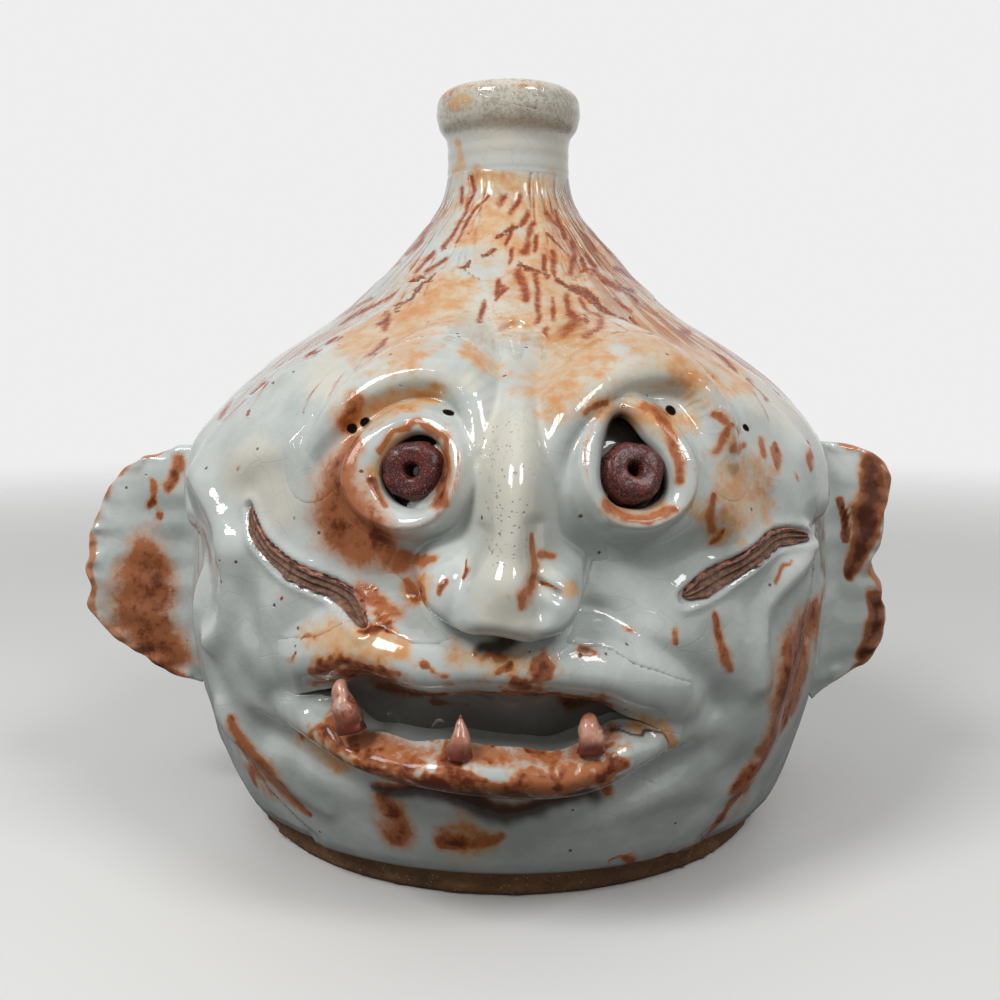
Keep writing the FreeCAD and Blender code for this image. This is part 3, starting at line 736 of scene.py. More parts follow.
# Orange stains: px, py and radius in pixels
STAIN_PATHS = [
    [(540, 250, 50), (560, 300, 60), (575, 340, 60), (556, 376, 40)], [(490, 222, 34), (540, 214, 30)],
    [(440, 300, 34), (400, 330, 30)], [(650, 330, 40), (700, 370, 34)], [(640, 280, 26), (600, 240, 26)],
    [(358, 345, 22), (380, 330, 16)], [(394, 352, 10)], [(470, 355, 12), (500, 366, 12)],
    [(735, 470, 30), (742, 515, 28)], [(700, 345, 20), (740, 372, 20)],
    [(350, 420, 14), (392, 402, 12), (436, 398, 10)], [(600, 412, 14), (690, 420, 16)],
    [(330, 640, 22), (400, 650, 14)], [(455, 655, 16), (520, 668, 14)], [(305, 735, 14), (345, 765, 12)],
    [(470, 840, 24)], [(420, 588, 14)], [(700, 506, 14), (716, 540, 12)], [(570, 596, 10)],
    [(640, 725, 10), (670, 738, 6)], [(462, 100, 8), (472, 106, 7)], [(458, 150, 6), (458, 176, 9)],
    [(480, 180, 10), (540, 184, 12)], [(400, 436, 8), (372, 470, 8)], [(620, 500, 10), (660, 504, 10)],
    [(510, 592, 6)], [(735, 550, 8)],
]

# Cream glaze full of pinholes: px, py and radius in pixels
CREAM_PATHS = [
    [(505, 430, 36), (512, 500, 40), (510, 570, 34), (506, 616, 34)], [(500, 150, 90)],
    [(500, 318, 26), (440, 290, 30)], [(400, 384, 22), (445, 392, 16)],
    [(610, 384, 18), (660, 376, 20), (700, 400, 14)], [(330, 380, 26)], [(250, 470, 30), (280, 500, 26)],
    [(640, 260, 30), (720, 340, 36), (790, 400, 30)], [(470, 385, 12)],
]

# Combed strokes on the shoulder: px, py and radius in pixels
STROKE_PATHS = [
    [(504, 196, 3), (499, 205, 3)], [(520, 196, 3), (510, 212, 3)], [(530, 212, 3), (523, 224, 3)],
    [(534, 224, 3), (525, 252, 3.4)], [(514, 249, 2), (511, 263, 2)], [(545, 256, 2.6), (545, 277, 2.6)],
    [(555, 252, 3.2), (556, 282, 3)], [(575, 242, 3.6), (573, 273, 3.4)], [(558, 210, 2), (569, 238, 2.4)],
    [(519, 273, 3.6), (524, 301, 3.4)], [(532, 275, 3), (534, 291, 3)], [(534, 296, 3), (535, 322, 3)],
    [(562, 296, 3), (567, 319, 3.6), (555, 336, 3)], [(499, 284, 2.4), (507, 289, 2)],
    [(504, 291, 2.4), (499, 301, 2)], [(590, 254, 2.4), (600, 268, 2.4)],
    [(583, 259, 2.8), (590, 273, 2.8)], [(583, 322, 2), (567, 338, 2.6)], [(588, 338, 3), (562, 359, 3)],
    [(527, 338, 4), (525, 371, 4)], [(548, 212, 2), (562, 226, 2)], [(593, 275, 2.4), (611, 291, 2.4)],
    [(597, 310, 1.8), (616, 333, 1.8)], [(621, 319, 1.8), (635, 333, 1.8)], [(611, 282, 3), (639, 301, 3)],
    [(621, 268, 2.6), (653, 287, 2.8)], [(686, 331, 2.4), (695, 333, 2.4)],
    [(737, 380, 2.4), (749, 399, 2.4)], [(470, 176, 3), (472, 190, 3), (466, 210, 2.6)],
    [(460, 188, 1.8), (460, 202, 1.8)], [(466, 210, 2.4), (452, 232, 2.4), (440, 250, 2)],
    [(488, 196, 1.8), (468, 220, 2), (456, 242, 1.8)], [(428, 224, 2.6), (418, 242, 2.6), (404, 254, 2)],
    [(396, 262, 2), (380, 278, 2)], [(432, 252, 2), (412, 272, 2)], [(446, 258, 1.8), (422, 272, 1.8)],
    [(370, 298, 1.8), (330, 320, 1.8)], [(378, 302, 1.6), (340, 324, 1.6)],
    [(346, 338, 1.8), (336, 344, 1.6)], [(324, 352, 1.8), (316, 356, 1.6)],
    [(314, 346, 1.8), (296, 358, 1.8)], [(280, 366, 2.2), (254, 388, 2.2)],
    [(277, 382, 1.8), (266, 394, 1.8)], [(261, 401, 2.4), (246, 418, 2)], [(242, 402, 3.2), (232, 418, 3)],
    [(396, 314, 2.6), (392, 330, 2.6)], [(396, 340, 2.6), (388, 356, 2.4)],
    [(500, 282, 2.6), (498, 294, 2.4)], [(486, 302, 2.6), (484, 322, 2.6)], [(458, 352, 4), (498, 364, 4)],
    [(412, 280, 1.6), (384, 300, 1.6)], [(440, 270, 1.6), (430, 282, 1.6)],
    [(576, 300, 2.2), (584, 318, 2.2)], [(548, 300, 2.2), (550, 320, 2.2)], [(545, 330, 3), (540, 352, 3)],
    [(606, 300, 2), (622, 312, 2)], [(660, 300, 2), (690, 322, 2)], [(650, 318, 1.6), (684, 340, 1.6)],
    [(700, 350, 1.8), (726, 372, 1.8)], [(756, 384, 1.6), (776, 400, 1.6)],
    [(720, 336, 1.6), (760, 362, 1.6)], [(584, 230, 2), (600, 250, 2)], [(512, 226, 2), (506, 244, 2)],
    [(538, 236, 2.4), (534, 250, 2.4)], [(640, 345, 2), (660, 352, 2)],
]

# Dark beaded dabs and gouges: px, py and radius in pixels
DAB_PATHS = [
    [(496, 236, 2.4), (504, 233, 3.0), (514, 230, 3.4)],
    [(480, 254, 2.4), (487, 251, 3.2), (495, 247, 3.0)], [(460, 266, 2.2), (472, 260, 1.6)],
    [(552, 238, 2.8), (560, 244, 3.4), (563, 250, 2)],
    [(522, 263, 3.6), (526, 268, 2.4), (538, 273, 2.6), (545, 276, 2.2)],
    [(556, 281, 1.8), (566, 289, 2.6), (580, 291, 3)], [(582, 293, 3), (598, 302, 3), (606, 310, 2.2)],
    [(608, 312, 1.6), (618, 315, 2.4), (628, 320, 1.8)], [(582, 321, 1.6), (585, 326, 2.2)],
    [(574, 331, 1.6)], [(428, 278, 2.4), (412, 290, 2.8)],
    [(412, 291, 2.6), (404, 300, 2.8), (394, 309, 1.8)], [(384, 316, 2.2), (378, 320, 1.6)],
    [(612, 284, 2), (628, 294, 3)], [(340, 340, 1.4), (346, 336, 1.4)], [(318, 356, 1.4), (324, 351, 1.4)],
    [(690, 332, 2.6)], [(252, 412, 1.6), (248, 418, 1.6)],
]

# Pinholes clustered in the glaze: px, py and radius in pixels
PIT_PATHS = [
    [(496, 312, 9), (506, 326, 12)], [(572, 284, 5)], [(500, 420, 26), (505, 490, 30), (500, 555, 22)],
    [(400, 384, 7)], [(560, 130, 12)], [(470, 180, 6)], [(450, 340, 4)], [(500, 600, 4)],
    [(470, 100, 10), (540, 100, 12)],
]

PAINTED = {
    "iron": IRON_PATHS, "stain": STAIN_PATHS, "cream": CREAM_PATHS, "dabs": DAB_PATHS, "pits": PIT_PATHS,
}

# Vent holes, painted black as the shade inside them: px, py, and radius in millimetres
VENTS = [(348.5, 429, 1.15), (361, 423, 1.1), (448.5, 412.5, 1.25), (679, 411, 1.3), (766, 429, 1.0)]


def vent_places():
    """The vent holes as points on the relief, with their radii, in metres."""
    places = seen([vent[:2] for vent in VENTS], vent_seen_lift)
    lift, _ = relief(places[:, 0], places[:, 1])
    points = point_at(places[:, 0], places[:, 1], lift) * mm
    return [(tuple(point.tolist()), radius * mm) for point, (_, _, radius) in zip(points, VENTS)]


VENT_PLACES = vent_places()


def paint(paths, px, py):
    """The glaze field of patches in the picture: 1 on a patch's middle line, 0 at its edge, less outside."""
    field = np.full(px.shape, -3.0)
    for path in paths:
        points = np.asarray(path, float)
        if len(points) == 1:
            points = np.repeat(points, 2, axis=0)
        margin = 4 * points[:, 2].max()
        near = (px > points[:, 0].min() - margin) & (px < points[:, 0].max() + margin)
        near &= (py > points[:, 1].min() - margin) & (py < points[:, 1].max() + margin)
        if near.any():
            gap, radius = to_path(px[near], py[near], points)
            field[near] = np.maximum(field[near], 1 - gap / radius[..., 0])
    return field


def profile_length(up):
    """Distance along the wall's outline from its foot."""
    steps = np.linspace(0, 200, 401)
    radii = wall(steps)
    length = np.concatenate([[0], np.cumsum(np.hypot(np.diff(steps), np.diff(radii)))])
    return np.interp(up, steps, length)


# Seeded strokes, and the drum on which the combed streaks lie
crest_reach = 1.5
stroke_seed = 23
stroke_count = 620
stroke_depth = 0.4
stroke_low = 118
stroke_high = 182
streak_drum = 50.0
streak_press = 0.06


def hair(around, up):
    """Combed strokes where the camera sees none: short seeded grooves down the slope, on the far shoulder."""
    draw = np.random.default_rng(stroke_seed)
    turn = around / round_radius
    length_at = profile_length(up)
    radius_at = wall(up)
    field = np.zeros(np.shape(around))
    for _ in range(stroke_count):
        middle_up = draw.uniform(stroke_low, stroke_high)
        middle_turn = draw.choice([-1, 1]) * draw.uniform(0.3, math.pi)
        half = draw.uniform(3, 10)
        lean = draw.normal(0, 0.10) + 0.12 * math.sin(3 * middle_turn)
        width = draw.uniform(0.4, 0.75)
        strength = draw.uniform(0.5, 1.0)
        middle = profile_length(middle_up)
        bow = draw.normal(0, 0.01)
        across = np.mod(turn - middle_turn + math.pi, 2 * math.pi) - math.pi
        near = (np.abs(across) < 0.6) & (np.abs(length_at - middle) < half + 3)
        down = length_at[near] - middle
        side = across[near] * radius_at[near] - lean * down - bow * down * down
        ends = np.clip(1 - (down / half) ** 2, 0, 1)
        field[near] = np.maximum(field[near], strength * np.sqrt(ends) * np.exp(-(side / width) ** 2))
    points = point_at(around, up, 0)
    px, py = picture_of(points)
    shown = np.abs(turn) < 1.5
    px = px + waves(points, *STROKE_WAVES)
    drawn_strokes = np.exp(-(1 - np.minimum(paint(STROKE_PATHS, px, py), 1)) ** 2 * 0.36)
    return np.where(shown, np.maximum(field * 0.9, drawn_strokes), field)


def glaze_marks(points, crest=None, combed=None):
    """The glaze fields of points.

    Iron, stain, cream, dabs and pits are painted in the picture, at places pushed about by small waves, and
    fade out past the turns that the camera sees. The shade mark is painted shade in the hollows under the
    lower lip and the nose and in a mouth corner. Combed is the field of strokes, and crest is how sharply the
    clay crests. Streak is the place on a drum of one radius, pressed along the slope, for the combed streaks.
    """
    flat = points.reshape(-1, 3)
    px, py = picture_of(flat)
    px = px + waves(flat, *ACROSS_WAVES)
    py = py + waves(flat, *DOWN_WAVES)
    turn = np.arctan2(flat[:, 0], -flat[:, 1])
    facing = smooth((1.45 - np.abs(turn)) / 0.35)
    marks = {"facing": facing}
    for name, paths in PAINTED.items():
        marks[name] = np.maximum(paint(paths, px, py) * facing - 3 * (1 - facing), -1.5)
    # Painted shade in the hollows under the lower lip and the nose, and in a mouth corner
    marks["shade"] = 0.95 * facing * smooth((paint(PAINTED_SHADE_PATHS, px, py) + 0.4) / 1.1)
    marks["crest"] = np.zeros(len(flat)) if crest is None else crest.ravel()
    marks["comb"] = np.zeros(len(flat)) if combed is None else combed.ravel()
    slope = profile_length(flat[:, 2])
    drum = streak_drum * mm * np.stack([np.sin(turn), -np.cos(turn)], -1)
    marks["streak"] = np.column_stack([drum, slope * mm * streak_press])
    side = smooth((np.abs(turn + 0.15) - 0.5) / 0.5) * (0.75 + 0.25 * np.sign(turn))
    ragged_end = stroke_low + 5 * np.sin(3 * turn) + 3 * np.sin(11 * turn + 1)
    marks["combing"] = side * smooth((flat[:, 2] - ragged_end) / 16) * smooth((186 - flat[:, 2]) / 10)
    return marks


def blurred(field, passes):
    """A field softened by averaging each place with its neighbours, both ways, a number of times."""
    for _ in range(passes):
        field = np.pad(field, 1, mode="edge")
        field = (field[:-2] + 2 * field[1:-1] + field[2:]) / 4
        field = (field[:, :-2] + 2 * field[:, 1:-1] + field[:, 2:]) / 4
    return field


def crest_of(field, step):
    """How sharply a lift field crests, softened over a few millimetres: over 0 on crests, less in hollows."""
    field = blurred(field, int(2 * (crest_reach / step) ** 2))
    down = np.gradient(np.gradient(field, axis=0), axis=0)
    across = np.gradient(np.gradient(field, axis=1), axis=1)
    return -(down + across) / step ** 2


# Materials

def srgb(red, green, blue):
    """A colour given as 0 to 255 on a screen, as linear light."""
    shares = np.array([red, green, blue]) / 255
    linear = np.where(shares <= 0.04045, shares / 12.92, ((shares + 0.055) / 1.055) ** 2.4)
    return (*linear.tolist(), 1.0)


class Value:
    """A number's socket that takes part in sums and products by adding Math nodes."""

    def __init__(self, shader, socket):
        self.shader = shader
        self.socket = socket

    def _math(self, operation, *values):
        inputs = dict(enumerate(values))
        return self.shader.node("ShaderNodeMath", {"operation": operation}, inputs)

    def __add__(self, other):
        return self._math("ADD", self, other)

    def __sub__(self, other):
        return self._math("SUBTRACT", self, other)

    def __rsub__(self, other):
        return self._math("SUBTRACT", other, self)

    def __mul__(self, other):
        return self._math("MULTIPLY", self, other)

    __radd__ = __add__
    __rmul__ = __mul__

    def most(self, other):
        return self._math("MAXIMUM", self, other)

    def step(self, low, high):
        """0 below low and 1 above high, smooth between them."""
        settings = {"interpolation_type": "SMOOTHSTEP"}
        inputs = {"Value": self, "From Min": low, "From Max": high}
        return self.shader.node("ShaderNodeMapRange", settings, inputs)


class Shader:
    """The node tree of a material or of the world, with one method that adds any node."""

    def __init__(self, name, owner=None):
        self.owner = owner or bpy.data.materials.new(name)
        self.owner.use_nodes = True
        self.tree = self.owner.node_tree
        self.tree.nodes.clear()
        self.place = self.node("ShaderNodeTexCoord", out="Object")

    def node(self, kind, settings=None, inputs=None, out=0):
        made = self.tree.nodes.new(kind)
        for name, setting in (settings or {}).items():
            setattr(made, name, setting)
        for name, value in (inputs or {}).items():
            if isinstance(value, Value):
                self.tree.links.new(value.socket, made.inputs[name])
            else:
                made.inputs[name].default_value = value
        return Value(self, made.outputs[out]) if len(made.outputs) else None

    def mark(self, name):
        return self.node("ShaderNodeAttribute", {"attribute_name": name}, out="Fac")

    def noise(self, scale, detail=3.0, rough=0.55, place=None, twist=0.0):
        inputs = {"Vector": place or self.place, "Scale": scale, "Detail": detail, "Roughness": rough}
        inputs["Distortion"] = twist
        return self.node("ShaderNodeTexNoise", None, inputs)

    def cells(self, scale, feature="F1", place=None, out="Distance"):
        inputs = {"Vector": place or self.place, "Scale": scale}
        return self.node("ShaderNodeTexVoronoi", {"feature": feature}, inputs, out)

    def mix(self, share, one, other):
        """A colour between two colours."""
        settings = {"data_type": "RGBA"}
        return self.node("ShaderNodeMix", settings, {0: share, 6: one, 7: other}, out=2)

    def bump(self, height, strength, distance):
        inputs = {"Height": height, "Strength": strength, "Distance": distance}
        return self.node("ShaderNodeBump", None, inputs)

    def finish(self, dark=None, dull=None, **inputs):
        """The main shader from its inputs: less mirroring where dull is 1, black and matt where dark is 1.

        Black and matt is the painted shade of the vent holes.
        """
        names = {name.replace("_", " ").title(): value for name, value in inputs.items()}
        names = {name.replace("Ior", "IOR"): value for name, value in names.items()}
        made = self.node("ShaderNodeBsdfPrincipled", None, names)
        if dull is not None:
            names["Specular IOR Level"] = dull_level
            less = self.node("ShaderNodeBsdfPrincipled", None, names)
            made = self.node("ShaderNodeMixShader", None, {0: dull, 1: made, 2: less})
        if dark is not None:
            matt = self.node("ShaderNodeBsdfDiffuse", None, {"Color": HOLE_SHADE})
            made = self.node("ShaderNodeMixShader", None, {0: dark, 1: made, 2: matt})
        self.node("ShaderNodeOutputMaterial", None, {"Surface": made})
        return self.owner


PALE = srgb(184, 191, 186)
CREAM = srgb(214, 209, 192)
MILK = srgb(205, 210, 206)
NECK_MILK = srgb(202, 209, 207)
LIP_SPECKLE = srgb(146, 130, 102)
HALO = srgb(206, 132, 58)
STROKE = srgb(172, 76, 8)
STROKE_CORE = srgb(126, 44, 10)
SAND = srgb(216, 178, 120)
IRON = srgb(172, 90, 34)
DARK_IRON = srgb(88, 28, 12)
# The brown of painted shade, also mixed into the right ear's iron
SHADE = srgb(62, 45, 34)
DAB_DARK = srgb(104, 24, 4)
DAB_LIGHT = srgb(180, 84, 30)
CRACK = srgb(140, 136, 122)
PINHOLE = srgb(128, 122, 114)
# The black of the vent holes' painted shade
HOLE_SHADE = srgb(30, 20, 18)

# How much the glaze mirrors where it is dull, as a specular level, of which 0.5 is the full one
dull_level = 0.18

# Heights in metres between which the neck's milky glaze gives way to the lip's speckled one
lip_glaze_low = 0.195
lip_glaze_high = 0.203


def glaze(name, creamy=0.0):
    """Pale glaze over clay with iron: patches where the iron shows, halos, breaks, crackle and pinholes.

    Shade in hollows and the black of the vent holes are painted into its colour.
    """
    s = Shader(name)
    iron = s.mark("iron")
    stain = s.mark("stain")
    cream = s.mark("cream")
    dabs = s.mark("dabs")
    comb = s.mark("comb")
    crest = s.mark("crest")
    facing = s.mark("facing")
    cloud = s.noise(38, 3, 0.6)
    blotch = s.noise(95, 4, 0.62, twist=0.3)
    grain = s.noise(260, 4, 0.65)
    fine = s.noise(950, 3, 0.6)
    ragged = (cloud - 0.5) * 1.4 + (blotch - 0.5) * 2.0 + (grain - 0.5) * 1.7 + (fine - 0.5) * 0.9
    far_side = s.noise(19, 3, 0.55, twist=0.6).step(0.57, 0.70) * (1 - facing) * 2.2

    wash = iron * 0.95 + ragged * 0.55 + far_side
    halo = wash.step(-0.7, 0.15)
    patch = wash.step(-0.1, 0.42)
    deep = (wash * 0.62 + (grain - 0.5) * 2.0 + (blotch - 0.5) * 1.8).step(0.2, 1.1)
    stained = (stain + far_side * 0.6 + ragged * 0.8).step(-0.45, 0.8)
    creamy_here = (cream + creamy * 4 + ragged * 0.6).step(-0.5, 0.6)
    strokes = (comb + (grain - 0.5) * 0.7 + (fine - 0.5) * 0.5).step(0.28, 1.02)
    cores = (comb + (grain - 0.5) * 1.1 + (fine - 0.5) * 0.6).step(0.72, 1.1)
    streak_place = s.node("ShaderNodeAttribute", {"attribute_name": "streak"}, out="Vector")
    streaks = s.noise(330, 1, 0.5, place=streak_place, twist=0.15) - 0.5
    combing = s.mark("combing") * s.noise(30, 2, 0.5).step(0.32, 0.55)
    lines = (1 - streaks.most(streaks * -1).step(0.02, 0.10)) * combing
    edges = (crest * 1.5 + ragged * 0.5).step(0.35, 1.0)
    spots = (dabs + ragged * 0.5 + (fine - 0.5) * 2.8).step(-0.1, 0.5)

    base = s.mix(s.noise(60, 3, 0.6).step(0.35, 0.7), PALE, MILK)
    base = s.mix((creamy_here * 0.8).most(combing * 0.7), base, CREAM)
    if creamy:
        height = s.node("ShaderNodeSeparateXYZ", None, {"Vector": s.place}, out="Z")
        rolled = height.step(lip_glaze_low, lip_glaze_high)
        base = s.mix((1 - rolled) * cloud.step(0.3, 0.55) * 0.75, base, NECK_MILK)
        base = s.mix(rolled * (fine + grain * 0.6).step(0.72, 0.92) * 0.5, base, LIP_SPECKLE)
    base = s.mix(stained * 0.7, base, SAND)
    base = s.mix(stained * (grain * 0.6 + blotch * 0.6).step(0.45, 0.8) * 0.9, base, HALO)
    base = s.mix((halo * 0.6).most(edges * 0.65).most(lines * 0.8), base, HALO)
    base = s.mix((strokes * 0.9).most(lines * 0.8), base, STROKE)
    rust = s.mix(deep * 0.85, IRON, DARK_IRON)
    solid = patch * (0.80 + deep * 0.18)
    base = s.mix((cores * 0.7).most(lines * 0.6), base, STROKE_CORE)
    base = s.mix(solid.most((edges - 0.5) * 1.3), base, rust)
    # Painted shade in hollows, round the beads and behind the mouth; on the right ear it darkens the iron
    base = s.mix(s.mark("shade"), base, SHADE)
    base = s.mix(spots * 0.9, base, s.mix(fine.step(0.45, 0.62), DAB_DARK, DAB_LIGHT))

    shifted = {0: 0.010, 4: s.place, 5: s.noise(70, 2, 0.5)}
    shift = s.node("ShaderNodeMix", {"data_type": "VECTOR"}, shifted, out=1)
    crackle = s.cells(150, "DISTANCE_TO_EDGE", place=shift)
    cracks = (1 - crackle.step(0.0, 0.03)) * s.noise(24, 2, 0.5).step(0.47, 0.60)
    base = s.mix(cracks * 0.12, base, CRACK)
    pitted = (s.mark("pits") + ragged * 0.9).step(-0.2, 0.7)
    pinholes = (1 - s.cells(760).step(0.10, 0.24)).most(1 - s.cells(310).step(0.09, 0.18)) * pitted
    base = s.mix(pinholes * 0.55, base, PINHOLE)
    speck_size = s.cells(190) - (fine - 0.5) * 0.10
    speck_pick = s.node("ShaderNodeSeparateColor", None, {"Color": s.cells(190, out="Color")})
    specks = (1 - speck_size.step(0.05, 0.11)) * speck_pick.step(0.72, 0.73)
    base = s.mix(specks * 0.9, base, DARK_IRON)
    # Painted shade of the vent holes: black and matt discs, dented by the bump
    vent_shade = 0.0
    for vent, radius in VENT_PLACES:
        away = s.node("ShaderNodeVectorMath", {"operation": "DISTANCE"}, {0: s.place, 1: vent}, out="Value")
        vent_shade = (1 - (away + (grain - 0.5) * 0.0007).step(radius * 0.8, radius * 1.15)) + vent_shade
    base = s.mix(vent_shade, base, HOLE_SHADE)

    height = s.noise(150, 3, 0.5) * 0.40 + s.noise(75, 2, 0.5) * 0.9
    height = height - pinholes * 0.5 - specks * 0.8 + patch * 0.15 - cracks * 0.06
    height = height + spots * fine * 2.2 - lines * 1.6 - cores * 0.3 - vent_shade * 3
    normal = s.bump(height, 0.58, 0.0006)
    rough = 0.06 + patch * 0.06 + stained * 0.04 + pinholes * 0.3 + vent_shade * 0.4
    dull = strokes.most(patch).most(spots).most(lines)
    return s.finish(vent_shade, dull, base_color=base, roughness=rough, normal=normal, ior=1.6)


def raw_clay():
    """Bare brown stoneware: mottled, with pale grit and open pores."""
    s = Shader("raw_clay")
    cloud = s.noise(55, 4, 0.6)
    grain = s.noise(520, 4, 0.7)
    base = s.mix(cloud.step(0.3, 0.7), srgb(98, 70, 46), srgb(136, 98, 62))
    base = s.mix((grain - 0.2).step(0.25, 0.55) * 0.5, base, srgb(64, 44, 30))
    grit = 1 - s.cells(900).step(0.12, 0.26)
    base = s.mix(grit * s.noise(200, 2, 0.5).step(0.45, 0.6), base, srgb(190, 160, 116))
    glazed = (s.mark("glazed") + (s.noise(90, 3, 0.6) - 0.5) * 1.4).step(-0.1, 0.25)
    base = s.mix(glazed, base, srgb(84, 26, 20))
    normal = s.bump(grain * 0.8 + grit * 0.5 + cloud * 0.4, 0.6, 0.0007)
    return s.finish(base_color=base, roughness=0.75 - glazed * 0.6, normal=normal)


def scar_clay():
    """Bare ridged clay in the scars with red glazed edges, and painted shade between the ridges."""
    s = Shader("scar_clay")
    grain = s.noise(700, 4, 0.7)
    edge = (s.mark("edge") + (s.noise(420, 3, 0.6) - 0.5) * 0.9).step(0.35, 0.75)
    base = s.mix(grain.step(0.35, 0.65), srgb(78, 48, 34), srgb(134, 98, 74))
    # Painted shade in the grooves between the ridges
    base = s.mix(s.mark("groove_shade").step(0.0, 0.8) * 0.6, base, srgb(70, 40, 30))
    glazed = s.mix(s.noise(500, 2, 0.5).step(0.4, 0.6), srgb(92, 40, 32), srgb(178, 112, 86))
    base = s.mix(edge, base, glazed)
    normal = s.bump(grain + edge * s.noise(900, 2, 0.5), 0.6, 0.0005)
    return s.finish(base_color=base, roughness=0.62 - edge * 0.5, normal=normal)


def fang_glaze():
    """Pinkish tan glaze with brown where it pools and pale where it is thick."""
    s = Shader("fang_glaze")
    cloud = s.noise(170, 4, 0.6, twist=0.4)
    vein = s.noise(330, 4, 0.65, twist=0.8)
    base = s.mix(cloud.step(0.38, 0.62), srgb(176, 112, 86), srgb(214, 164, 142))
    pooled = (vein.step(0.52, 0.66) * 0.8).most(s.mark("foot").step(0.45, 0.9))
    base = s.mix(pooled, base, srgb(120, 52, 36))
    base = s.mix(s.noise(260, 2, 0.5).step(0.62, 0.72) * 0.6, base, MILK)
    normal = s.bump(cloud + vein * 0.4, 0.5, 0.0004)
    return s.finish(base_color=base, roughness=0.14, normal=normal, ior=1.5)


def bead_glaze():
    """Dark maroon glaze full of fine glints: bumps, and pale specks painted into its colour as glints."""
    s = Shader("bead_glaze")
    glints = s.cells(5600, out="Color")
    pick = s.node("ShaderNodeSeparateColor", None, {"Color": glints})
    painted_glints = pick.step(0.87, 0.97)
    cloud = s.noise(300, 4, 0.6)
    base = s.mix(cloud.step(0.35, 0.65), srgb(62, 14, 8), srgb(104, 34, 22))
    # Painted glints: pale specks mixed into the colour
    base = s.mix(painted_glints * 0.45, base, srgb(196, 168, 172))
    normal = s.bump(pick * 1.6 + cloud, 0.8, 0.0004)
    return s.finish(base_color=base, roughness=0.27, normal=normal, ior=1.7, specular_ior_level=0.24)


# Pieces

# The wall behind the mouth and the eyes is painted dark, partly its brown glaze and partly shade:
# how far past their edges it is dark, and how dark, 0 to 1
mouth_shade_margin = 4
eye_shade_margin = 6
shade_behind = 0.75

# The face skin's grid around, and how far it stays clear of the mouth and of the eye holes
skin_left = -114
skin_right = 111
skin_margin = 2


def bead_centre(side):
    """The middle of a bead, on its joint's axis."""
    joint = next(joint for joint in frame["joints"] if joint["name"].startswith(side))
    return np.array(joint["pos_m"]) / mm


def jug_body(material):
    """The thrown wall as a closed turn: outside rows by height, then the inside rows back down."""
    columns = 540
    outside = np.concatenate([np.linspace(foot_height + 0.2, 120, 44), np.linspace(120, 190, 104)[1:]])
    around = np.linspace(-math.pi, math.pi, columns, endpoint=False) * round_radius
    around, up = np.meshgrid(around, outside)
    combed = hair(around, up)
    bed = bed_relief(around, up)
    under = smooth(slab_inside(around, up) / slab_seam)
    lift = bed - combed * stroke_depth - (seam_depth + slab_lift * slab_fade(around, up)) * under
    lift -= seam_depth * smooth((up - neck_base + 1) / 2.5)
    outer = point_at(around, up, lift)
    for side in EYES:
        centre = bead_centre(side)
        apart = outer - centre
        distance = np.linalg.norm(apart, axis=-1, keepdims=True)
        outer = np.where(distance < pocket_radius, centre + apart * pocket_radius / distance, outer)
    inner_up = np.concatenate([np.linspace(189, 120, 10), np.linspace(110, 16, 8)])
    inner_around = np.broadcast_to(around[0], (len(inner_up), columns))
    inner_rows = np.broadcast_to(inner_up[:, None], inner_around.shape)
    inner = point_at(inner_around, inner_rows, -wall_thickness)
    points = np.concatenate([outer, inner])
    faces = grid_faces(len(points), columns, closed_columns=True)
    marks = glaze_marks(points, combed=np.concatenate([combed, np.zeros(inner.shape[:2])]))
    # Painted shade, with some of the wall's brown glaze, where the wall shows through the mouth and round the
    # beads
    behind = mouth_gap(around, up) > -mouth_shade_margin
    for eye in EYES.values():
        away, angle = eye.polar(around, up)
        behind |= away < ring_through(eye.hole, angle) + eye_shade_margin
    marks["shade"][:behind.size][behind.ravel()] = shade_behind
    caps = end_caps(len(points), columns)
    put("jug_body", points, faces, "jug", "thrown_body", material, marks, caps=caps)


def face_skin(material):
    """The face slab: the relief on a grid, sunk under applied pieces, open at the eyes and the mouth."""
    around = np.arange(skin_left, skin_right, skin_step)
    up = np.arange(slab_low - 4, slab_high + 11, skin_step)
    around, up = np.meshgrid(around, up)
    full, bed = relief(around, up)
    under = np.max([inside(around, up) for inside in INSIDE.values()], axis=0)
    under = smooth((under + seam_overlap) / seam_width)
    lift = full * (1 - under) + (np.minimum(full, bed) - seam_depth) * under
    within = slab_inside(around, up)
    lift -= seam_depth * smooth(-within / slab_seam)
    keep = within > -slab_seam - seam_overlap
    keep &= mouth_gap(around, up) < -skin_margin
    for eye in EYES.values():
        away, angle = eye.polar(around, up)
        keep &= away > ring_through(eye.hole, angle) + skin_margin
    combed = hair(around, up) * smooth((up - 112) / 8)
    lift -= combed * stroke_depth
    front = point_at(around, up, lift)
    back = point_at(around, up, np.minimum(lift - 1, 0) - back_depth)
    points, faces = thick(front, back, quad_mean(keep.astype(float)) > 0.99)
    marks = glaze_marks(front, 0.35 * crest_of(full, skin_step), combed)
    marks = {mark: np.concatenate([values, values]) for mark, values in marks.items()}
    put("face_skin", points, faces, "jug", "face_mask", material, marks)


